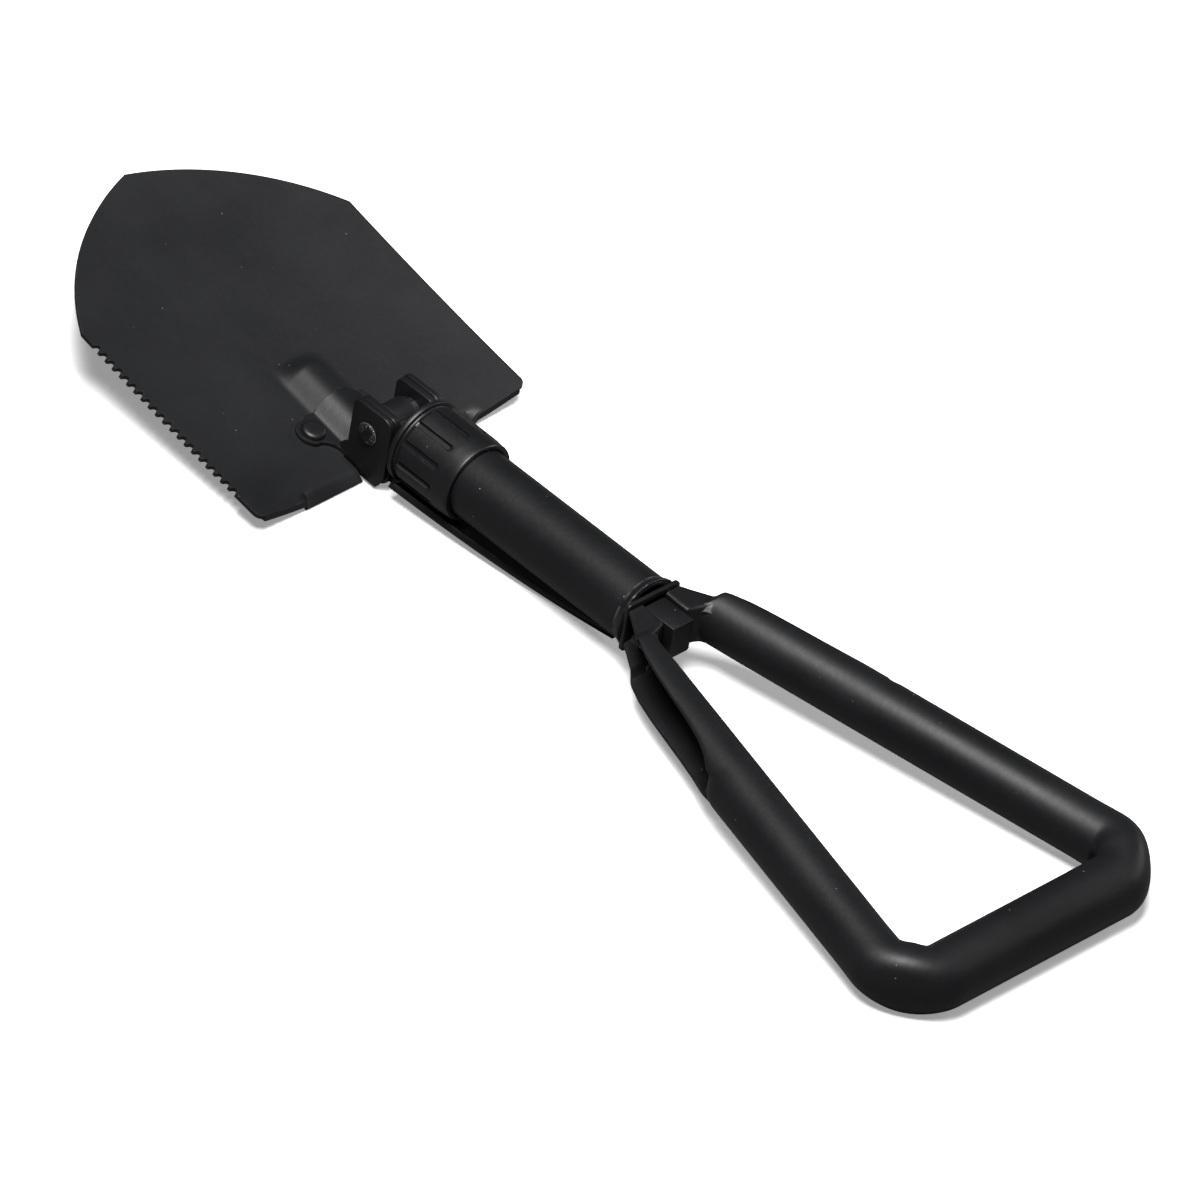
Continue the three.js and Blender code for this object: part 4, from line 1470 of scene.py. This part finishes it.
# ------------------------------------------------------------------ shaft
@dataclass
class ShaftTube:
    """The steel tube with its threaded sleeve, bar guides, end plate and weld ring."""

    radius: float = 16.0
    wall: float = 1.5
    front_x: float = -112.0
    rear_x: float = -2.3
    plate_half_y: float = 15.4
    plate_half_z: float = 12.4
    plate_thickness: float = 2.0
    plate_corner: float = 2.2
    window_half_y: float = 6.25
    window_half_z: float = 8.6

    def build_tube(self) -> Blank:
        """Turns the tube with eased ends.

        Returns:
            The tube.
        """
        r, inner, ease = self.radius, self.radius - self.wall, 0.4
        profile = [(self.front_x, inner + ease), (self.front_x, r - ease), (self.front_x + ease, r)]
        profile += [(x, r) for x in spread(self.front_x + 8, self.rear_x - 8, 6)]
        profile += [(self.rear_x - ease, r), (self.rear_x, r - ease), (self.rear_x, inner)]
        profile += [(self.front_x + ease, inner)]
        return turned("shaft_tube_drawn", profile, 160, closed=True)

    def build_plate(self) -> Blank:
        """Cuts the end plate and its window.

        Returns:
            The end plate.
        """
        outline = rounded_rectangle(self.plate_half_y, self.plate_half_z, self.plate_corner)
        blank = plate("end_plate_cut", outline, Axis.X, -self.plate_thickness, 0.0)
        window = rounded_rectangle(self.window_half_y, self.window_half_z, 0.6)
        blank.combine(plate("window", window, Axis.X, -9, 9), "DIFFERENCE")
        return blank.ease_edges(0.35, 3, 40)

    def build_weld(self) -> Blank:
        """Lays the weld bead between the tube and the end plate.

        Returns:
            The bead.
        """
        r, back = self.radius + 0.15, self.rear_x
        steps = ((4.2, 0.02), (3.4, 0.12), (2.4, 0.35), (1.5, 0.75), (0.8, 1.0), (0.3, 0.95))
        profile = [(back - before, r + rise) for before, rise in steps]
        profile += [(back, r + 0.7), (back, r)]
        bead = turned("weld_bead", profile, 144, closed=True)

        def ripple(co: Vector) -> Sequence[float]:
            """Gives the bead its run of small waves.

            Args:
                co: The point.

            Returns:
                Where it goes.
            """
            radius, angle = math.hypot(co.y, co.z), math.atan2(co.z, co.y)
            wave = 0.12 * math.sin(34 * angle) + 0.10 * noise.noise(co * 0.6)
            lift = max(0.0, radius - r - 0.2) * wave
            return (co.x, co.y * (radius + lift) / radius, co.z * (radius + lift) / radius)

        return bead.reshape(ripple)

    def make(self) -> None:
        """Builds and dresses the shaft's pieces."""
        self.build_tube().settle(Body.SHAFT, Slot.COAT_SMOOTH, TUBE_COAT, ["shaft_tube"])
        self.build_plate().settle(Body.SHAFT, Slot.COAT, PRESSED_COAT, ["end_plate"])
        self.build_weld().settle(Body.SHAFT, Slot.COAT_SMOOTH, PRESSED_COAT, ["end_ferrule"])
        dress_cad("threaded_sleeve", Slot.STEEL, BRIGHT_STEEL)
        for end in ("front", "rear"):
            dress_cad(f"bar_guide_{end}", Slot.BRASS, TURNED_BRASS)


# ------------------------------------------------------------------ tail block and pin
@dataclass
class TailBlock:
    """The square block that joins the pull bar to the grip, with the grip's pin."""

    half_y: float = 5.95
    half_z: float = 8.3
    corner_cut: float = 0.9
    recess_border: float = 1.3
    recess_depth: float = 0.25
    front_x: float = -8.0
    rear_x: float = 18.4
    pin_x: float = 10.2
    pin_radius: float = 2.5
    head_radius: float = 4.4
    head_y: float = 13.6
    head_thickness: float = 1.8

    def build_block(self) -> Blank:
        """A block whose lower right edge is cut off, with eased edges and a shallow end recess.

        Returns:
            The block.
        """
        y, z, cut = self.half_y, self.half_z, self.corner_cut
        outline = [(y, z), (-y, z), (-y, -z), (y - cut, -z), (y, -z + cut)]
        block = plate("tail_block_milled", outline, Axis.X, self.front_x, self.rear_x)
        block.edit("FACE", lambda f: f.normal.x > 0.9)
        bpy.ops.mesh.inset(thickness=self.recess_border)
        bpy.ops.transform.translate(value=(-self.recess_depth, 0, 0))
        clear_bench()
        return block.ease_edges(0.35, 3, 40)

    def build_pin(self) -> Blank:
        """The grip's rivet with a dimple in each head.

        Returns:
            The rivet.
        """
        y, head, rise = self.head_y, self.head_radius, self.head_thickness
        half = [(y, head - 0.15), (y + 0.2, head), (y + 0.55 * rise, head - 0.1)]
        half += [(y + 0.85 * rise, head - 0.55), (y + rise, head - 1.3), (y + rise, head - 1.8)]
        half += [(y + 0.8 * rise, head - 2.2), (y + 0.45 * rise, head - 2.9), (y + 0.4 * rise, 0.6)]
        shank = [(-y, self.pin_radius), (y, self.pin_radius)]
        profile = [(-a, radius) for a, radius in reversed(half)] + shank + half
        pin = cross_rod("grip_rivet", profile, self.pin_x, 0, 48)
        pin.modify("SUBSURF", subdivision_type="SIMPLE", levels=1, render_levels=1)

        def hammer(co: Vector) -> Sequence[float]:
            """Dents the heads a little.

            Args:
                co: The point.

            Returns:
                Where it goes.
            """
            if abs(co.y) < y + 0.3:
                return co
            push = 0.22 * noise.noise(Vector((co.x * 0.9, 3.0, co.z * 0.9)))
            return co + Vector((0, math.copysign(push, co.y), 0))

        return pin.reshape(hammer)

    def make(self) -> None:
        """Builds and dresses the block and the pin."""
        self.build_block().settle(Body.CORE, Slot.COAT, PRESSED_COAT, ["tail_block"])
        self.build_pin().settle(Body.CORE, Slot.COAT_SMOOTH, PEENED, ["grip_pin"])
        for name, _ in SIDES:
            dress_cad(f"grip_bush_{name}", Slot.DARK_STEEL, OILED_STEEL)


# ------------------------------------------------------------------ D-grip
@dataclass
class DGrip:
    """The D-grip: one tube bent to a triangle, its two ends pressed into channels."""

    bar_x: float = 229.5
    bar_radius: float = 14.2
    arm_radius: float = 13.2
    bend_radius: float = 18.5
    arm_start: float = 21.7
    arm_slope: float = 0.221
    half_height: float = 9.7
    wall_y: float = 6.6
    flat_to: float = 12.5
    tube_from: float = 17.0
    square_from: float = 48.0
    fade_from: float = 84.0
    fade_to: float = 99.0
    pin_x: float = 10.2
    swing_y: float = 15.9
    swing_gap: float = 0.4
    ground_depth: float = 26.0
    droop_from: float = 11.0
    lip_share: float = 0.93
    swell_before: float = 30.0
    swell_length: float = 25.0
    crease_height: float = 6.0
    crease_depth: float = 7.0
    crease_lift: float = 2.2
    outer_flatten: float = 3.4
    bend_bulge: float = 0.06
    drain_before: float = 45.0
    drain_radius: float = 2.6
    drain_depth: float = 20.0
    drain_below: float = 21.0
    around: int = 64
    lip: int = 20
    lip_line: Profile = (
        (0.5, 14.7), (12.5, 22.4), (18.4, 26.6), (27.0, 30.6), (38.5, 34.4), (51.0, 38.0),
        (64.5, 41.8), (76.9, 45.9), (84.5, 49.3), (91.2, 53.5), (99.0, 57.5),
    )
    floor_line: Profile = (
        (0.5, 9.6), (13.6, 9.6), (16.0, 13.0), (18.5, 15.0), (30.0, 19.5), (45.0, 25.5), (60.0, 31.0),
        (76.0, 38.5), (86.0, 45.0), (99.0, 56.5),
    )

    @property
    def droop(self) -> float:
        """How much the loop sinks per millimetre from its pin, so that the bar lies on the ground."""
        return (self.ground_depth - self.bar_radius) / (self.bar_x - self.droop_from)

    def arm_y(self, x: float) -> float:
        """Distance of the arm's centre line from the middle."""
        return self.arm_start + self.arm_slope * x

    def half_path(self) -> list[tuple[Vector, Vector, float]]:
        """Centre line of the right half in plan.

        Returns:
            For each station its place, its outward direction and its share of the bend (0..1).
        """
        lean = math.atan(self.arm_slope)
        turn = math.pi / 2 + lean
        reach = self.bend_radius * math.tan(turn / 2)
        bend_x = self.bar_x - reach * math.cos(lean)
        centre = Vector((self.bar_x - self.bend_radius, self.arm_y(self.bar_x) - reach))
        xs = spread(0.5, self.flat_to, 3)
        stretches = ((self.tube_from, 12), (self.square_from, 16), (self.fade_to, 26), (bend_x, 10))
        for end, count in stretches:
            xs += spread(xs[-1], end, count)[1:]
        points = [(Vector((x, self.arm_y(x))), 0.0) for x in xs]
        for t in spread(0.0, 1.0, 40)[1:]:
            angle = turn * (1 - t)
            offset = self.bend_radius * Vector((math.cos(angle), math.sin(angle)))
            points.append((centre + offset, math.sin(math.pi * t) ** 2))
        for t in spread(0.0, 1.0, 14)[1:]:
            points.append((Vector((self.bar_x, centre.y * (1 - t))), 0.0))
        stations = []
        for i, (point, bend) in enumerate(points):
            before = points[max(0, i - 1)][0]
            after = points[min(len(points) - 1, i + 1)][0]
            along = (after - before).normalized()
            square = smooth((point.x - self.tube_from) / (self.square_from - self.tube_from))
            outward = Vector((0.0, 1.0)).lerp(Vector((-along.y, along.x)), square)
            stations.append((point, outward.normalized(), bend))
        return stations

    def outside(self, x: float, radius: float) -> list[Pair]:
        """The section's outer line over the top, from the inner wall to the lip.

        Args:
            x: The station.
            radius: The tube's radius there.

        Returns:
            Points of (across, height): a flat flange at the pin, then the tube's own round.
        """
        centre = self.arm_y(x)
        lip = min(gauge(self.lip_line, x) - centre, self.lip_share * radius)
        wall, high = self.wall_y - centre, self.half_height
        end = math.acos(max(-1.0, lip / radius))
        round_share = smooth((x - self.flat_to) / (self.tube_from - self.flat_to))
        knots = [
            (0, wall, 0.0), (7, wall, high - 1.3), (8, wall + 0.2, high - 0.5), (9, wall + 0.9, high),
            (18, lip - 0.8, high), (20, lip, high - 0.3),
        ]
        section: list[Pair] = []
        for (i0, a0, h0), (i1, a1, h1) in zip(knots, knots[1:]):
            for i in range(i0, i1 + (i1 == self.lip)):
                t = (i - i0) / (i1 - i0)
                angle = mix(math.pi, end, i / self.lip)
                across_tube, up_tube = radius * math.cos(angle), radius * math.sin(angle)
                out = mix(mix(a0, a1, t), across_tube, round_share)
                up = mix(mix(h0, h1, t), up_tube, round_share)
                if x <= self.tube_from and centre + out < self.swing_y:
                    up = min(up, self.pin_x - self.swing_gap)
                section.append((out, up))
        return section

    def pocket(self, x: float, lip: Pair) -> list[Pair]:
        """The wall pushed in behind the lip.

        Args:
            x: The station.
            lip: Across and height of the lip.

        Returns:
            Points of (across, height) from behind the lip to the middle of the wall.
        """
        edge, high = lip
        floor = min(gauge(self.floor_line, x) - self.arm_y(x), edge - 0.6)
        knots = [
            (0, edge, high), (1, edge + 0.3, high - 0.5), (2, edge + 0.3, high - 1.2),
            (3, edge - 0.1, high - 1.8), (6, mix(edge, floor, 0.7), 0.92 * high - 1.6),
            (8, floor + 0.15, 0.72 * high - 1.4), (12, floor, 0.0),
        ]
        section: list[Pair] = []
        for (i0, a0, h0), (i1, a1, h1) in zip(knots, knots[1:]):
            for i in range(i0, i1):
                t = (i + 1 - i0) / (i1 - i0)
                section.append((mix(a0, a1, t), max(0.0, mix(h0, h1, t))))
        return section

    def relax(
        self, index: int, radius: float, lip: float, out: float, high: float, fade: float
    ) -> Pair:
        """Lets a point of the pressed section go back to the round tube.

        Args:
            index: The point's place in the half section.
            radius: The tube's radius.
            lip: How far out the lip stands.
            out: The point's distance across.
            high: The point's height.
            fade: 0 where the press is full, 1 where the tube is round.

        Returns:
            The point's distance across and its height.
        """
        even = math.pi * (1 - 2 * index / self.around)
        end = math.acos(max(-1.0, min(1.0, lip / radius)))
        behind = (index - self.lip) / (self.around // 2 - self.lip)
        own = mix(end, 0.0, behind)
        if index <= self.lip:
            own = mix(math.pi, end, index / self.lip)
        angle = mix(own, even, fade)
        round_point = (radius * math.cos(angle), radius * math.sin(angle))
        if index <= self.lip:
            return round_point if fade > 0 else (out, high)
        return (mix(out, round_point[0], fade), mix(high, round_point[1], fade))

    def ring(self, place: Vector, outward: Vector, bend: float) -> list[Triple]:
        """One cross-section: a channel near the pin, a circle on the arms, crushed in the bends.

        Args:
            place: The centre in plan.
            outward: The outward direction.
            bend: The share of the bend.

        Returns:
            The points round the section.
        """
        swell = smooth((place.x - (self.bar_x - self.swell_before)) / self.swell_length)
        radius = mix(self.arm_radius, self.bar_radius, swell)
        drop = -self.droop * (place.x - self.pin_x)
        over = self.outside(place.x, radius)
        pressed = over + self.pocket(place.x, over[-1])
        fade = smooth((place.x - self.fade_from) / (self.fade_to - self.fade_from))
        upper: list[Pair] = []
        for i, (out, high) in enumerate(pressed):
            out, high = self.relax(i, radius, over[-1][0], out, high, fade)
            if out < 0:
                pinch = math.exp(-((high / self.crease_height) ** 2))
                out += bend * (self.crease_depth * pinch - self.crease_lift) * (-out / radius)
            else:
                out -= bend * self.outer_flatten * (out / radius) ** 2
            upper.append((out, high * (1 + self.bend_bulge * bend)))
        lower = [(out, -high) for out, high in upper[1:-1]]
        section = list(reversed(upper)) + lower
        return [(place.x + outward.x * o, place.y + outward.y * o, drop + h) for o, h in section]

    def build(self) -> Blank:
        """Bends the tube from a torus, presses its ends and drills its drain holes.

        Returns:
            The loop.
        """
        half = self.half_path()
        mirrored = [
            (Vector((p.x, -p.y)), Vector((o.x, -o.y)), b) for p, o, b in reversed(half[:-1])
        ]
        rings = [self.ring(*station) for station in half + mirrored]
        clear_bench()
        bpy.ops.mesh.primitive_torus_add(major_segments=len(rings), minor_segments=self.around)
        loop = Blank("grip_loop_bent")
        for index, vertex in enumerate(loop.object.data.vertices):
            vertex.co = rings[index // self.around][index % self.around]
        last = len(rings) - 1

        def closes(face: bmesh.types.BMFace) -> bool:
            """True for a face that joins the two ends of the tube."""
            stations = {v.index // self.around for v in face.verts}
            return 0 in stations and last in stations

        loop.edit("FACE", closes)
        bpy.ops.mesh.delete(type="ONLY_FACE")
        loop.edit("VERT")
        bpy.ops.mesh.select_all(action="DESELECT")
        bpy.ops.mesh.select_non_manifold()
        bpy.ops.mesh.fill_holes(sides=0)
        loop.face_outwards()
        drain_x = self.bar_x - self.drain_before
        drain_z = -self.droop * drain_x - self.drain_below
        for _, side in SIDES:
            clear_bench()
            bpy.ops.mesh.primitive_cylinder_add(
                vertices=32,
                radius=self.drain_radius,
                depth=self.drain_depth,
                location=(drain_x, side * self.arm_y(drain_x), drain_z),
            )
            loop.combine(Blank("drill"), "DIFFERENCE")
        return loop

    def make(self) -> None:
        """Builds and dresses the loop."""
        self.build().settle(Body.GRIP, Slot.COAT_SMOOTH, TUBE_COAT, ["grip_loop"], 38)


# ------------------------------------------------------------------ studio
@dataclass(frozen=True)
class FloorPaint(Finish):
    """Matt white sweep."""

    seen: Colour = (0.93, 0.93, 0.93)
    seen_light: Colour = (0.95, 0.95, 0.95)
    felt: float = 0.12
    lift: float = 0.30

    def mix(self, nodes: NodeSheet, shader: bpy.types.Node) -> None:
        """Joins a bright matt paint for the eye with a darker one for what it throws back.

        Args:
            nodes: The material's node sheet.
            shader: Its main shader.
        """
        place = nodes.add("ShaderNodeTexCoord").outputs["Object"]
        tone = nodes.span(nodes.noise(place, 3.0, 2.0), (0.3, 0.7))
        nodes.link(nodes.blend(tone, self.seen, self.seen_light), shader.inputs["Base Color"])
        shader.inputs["Roughness"].default_value = 0.9
        shader.inputs["Specular IOR Level"].default_value = 0.0
        shader.inputs["Emission Color"].default_value = (1.0, 1.0, 1.0, 1.0)
        shader.inputs["Emission Strength"].default_value = self.lift
        dim = nodes.add("ShaderNodeBsdfDiffuse")
        dim.inputs["Color"].default_value = (self.felt, self.felt, self.felt, 1.0)
        choice = nodes.add("ShaderNodeMixShader")
        nodes.link(nodes.add("ShaderNodeLightPath").outputs["Is Camera Ray"], choice.inputs[0])
        nodes.link(dim.outputs["BSDF"], choice.inputs[1])
        nodes.link(shader.outputs["BSDF"], choice.inputs[2])
        nodes.link(choice.outputs["Shader"], nodes.tree.nodes["Material Output"].inputs["Surface"])


@dataclass(frozen=True)
class Softbox:
    """A soft lamp that faces the tool: where it hangs, its width and height, and its power."""

    name: str
    place: Triple
    size: Pair
    watts: float


@dataclass
class Studio:
    """Pale floor, soft lights and the camera."""

    target: Triple = (0.02240528, -0.01040263, 0.026)
    distance: float = 10.48845
    azimuth: float = -50.21296
    elevation: float = 38.98262
    roll: float = -9.97343
    focal_ratio: float = 25000 / 1200
    sensor: float = 36.0
    far_clip: float = 60.0
    floor_size: float = 24.0
    fill: float = 0.03
    softboxes: tuple[Softbox, ...] = (
        Softbox("overhead", (0.25, -0.55, 2.0), (1.0, 1.0), 92),
        Softbox("rear_right", (0.7, 2.2, 0.9), (1.6, 0.5), 12),
    )

    def add_floor(self) -> None:
        """Lays a wide pale floor under the tool."""
        clear_bench()
        bpy.ops.mesh.primitive_plane_add(size=self.floor_size)
        floor = bpy.context.active_object
        floor.name = "studio_floor"
        floor.data.materials.append(FloorPaint("floor_paint").material())

    def add_softbox(self, box: Softbox) -> None:
        """Hangs a soft box that faces the tool.

        Args:
            box: Which one.
        """
        lamp = bpy.data.lights.new(box.name, "AREA")
        lamp.shape = "RECTANGLE"
        lamp.size, lamp.size_y = box.size
        lamp.energy = box.watts
        held = bpy.data.objects.new(box.name, lamp)
        bpy.context.scene.collection.objects.link(held)
        held.location = box.place
        aim = Vector((0, 0, 0)) - Vector(box.place)
        held.rotation_euler = aim.to_track_quat("-Z", "Y").to_euler()

    def add_camera(self) -> None:
        """Sets up the camera from its direction, its roll and its distance."""
        az, el = math.radians(self.azimuth), math.radians(self.elevation)
        away = Vector((math.cos(az) * math.cos(el), math.sin(az) * math.cos(el), math.sin(el)))
        lens = bpy.data.cameras.new("view")
        lens.sensor_width = self.sensor
        lens.lens = self.sensor * self.focal_ratio
        lens.clip_end = self.far_clip
        held = bpy.data.objects.new("view", lens)
        bpy.context.scene.collection.objects.link(held)
        level = (-away).to_track_quat("-Z", "Y").to_matrix().to_4x4()
        spin = Matrix.Rotation(math.radians(-self.roll), 4, "Z")
        stand = Matrix.Translation(Vector(self.target) + away * self.distance)
        held.matrix_world = stand @ level @ spin
        bpy.context.scene.camera = held

    def add_world(self) -> None:
        """Gives the room its even fill."""
        world = bpy.data.worlds.new("room")
        world.use_nodes = True
        sky = world.node_tree.nodes["Background"]
        sky.inputs["Color"].default_value = (1.0, 1.0, 1.0, 1.0)
        sky.inputs["Strength"].default_value = self.fill
        bpy.context.scene.world = world

    def make(self) -> None:
        """Builds the studio."""
        self.add_camera()
        self.add_floor()
        self.add_world()
        for box in self.softboxes:
            self.add_softbox(box)
        bpy.context.scene.view_settings.view_transform = "Standard"
        LOG.info("studio ready")


def main() -> None:
    """Builds the studio and every sub-assembly in order."""
    logging.basicConfig(level=logging.INFO, format="%(name)s: %(message)s")
    blade = Blade()
    assemblies = [
        Studio(), blade, BladeBracket(blade), HingeCore(), StowedPick(), LockingCollar(),
        ShaftTube(), TailBlock(), DGrip(),
    ]
    for assembly in assemblies:
        assembly.make()
        LOG.info("%s done", type(assembly).__name__)


if __name__ == "__main__":
    main()
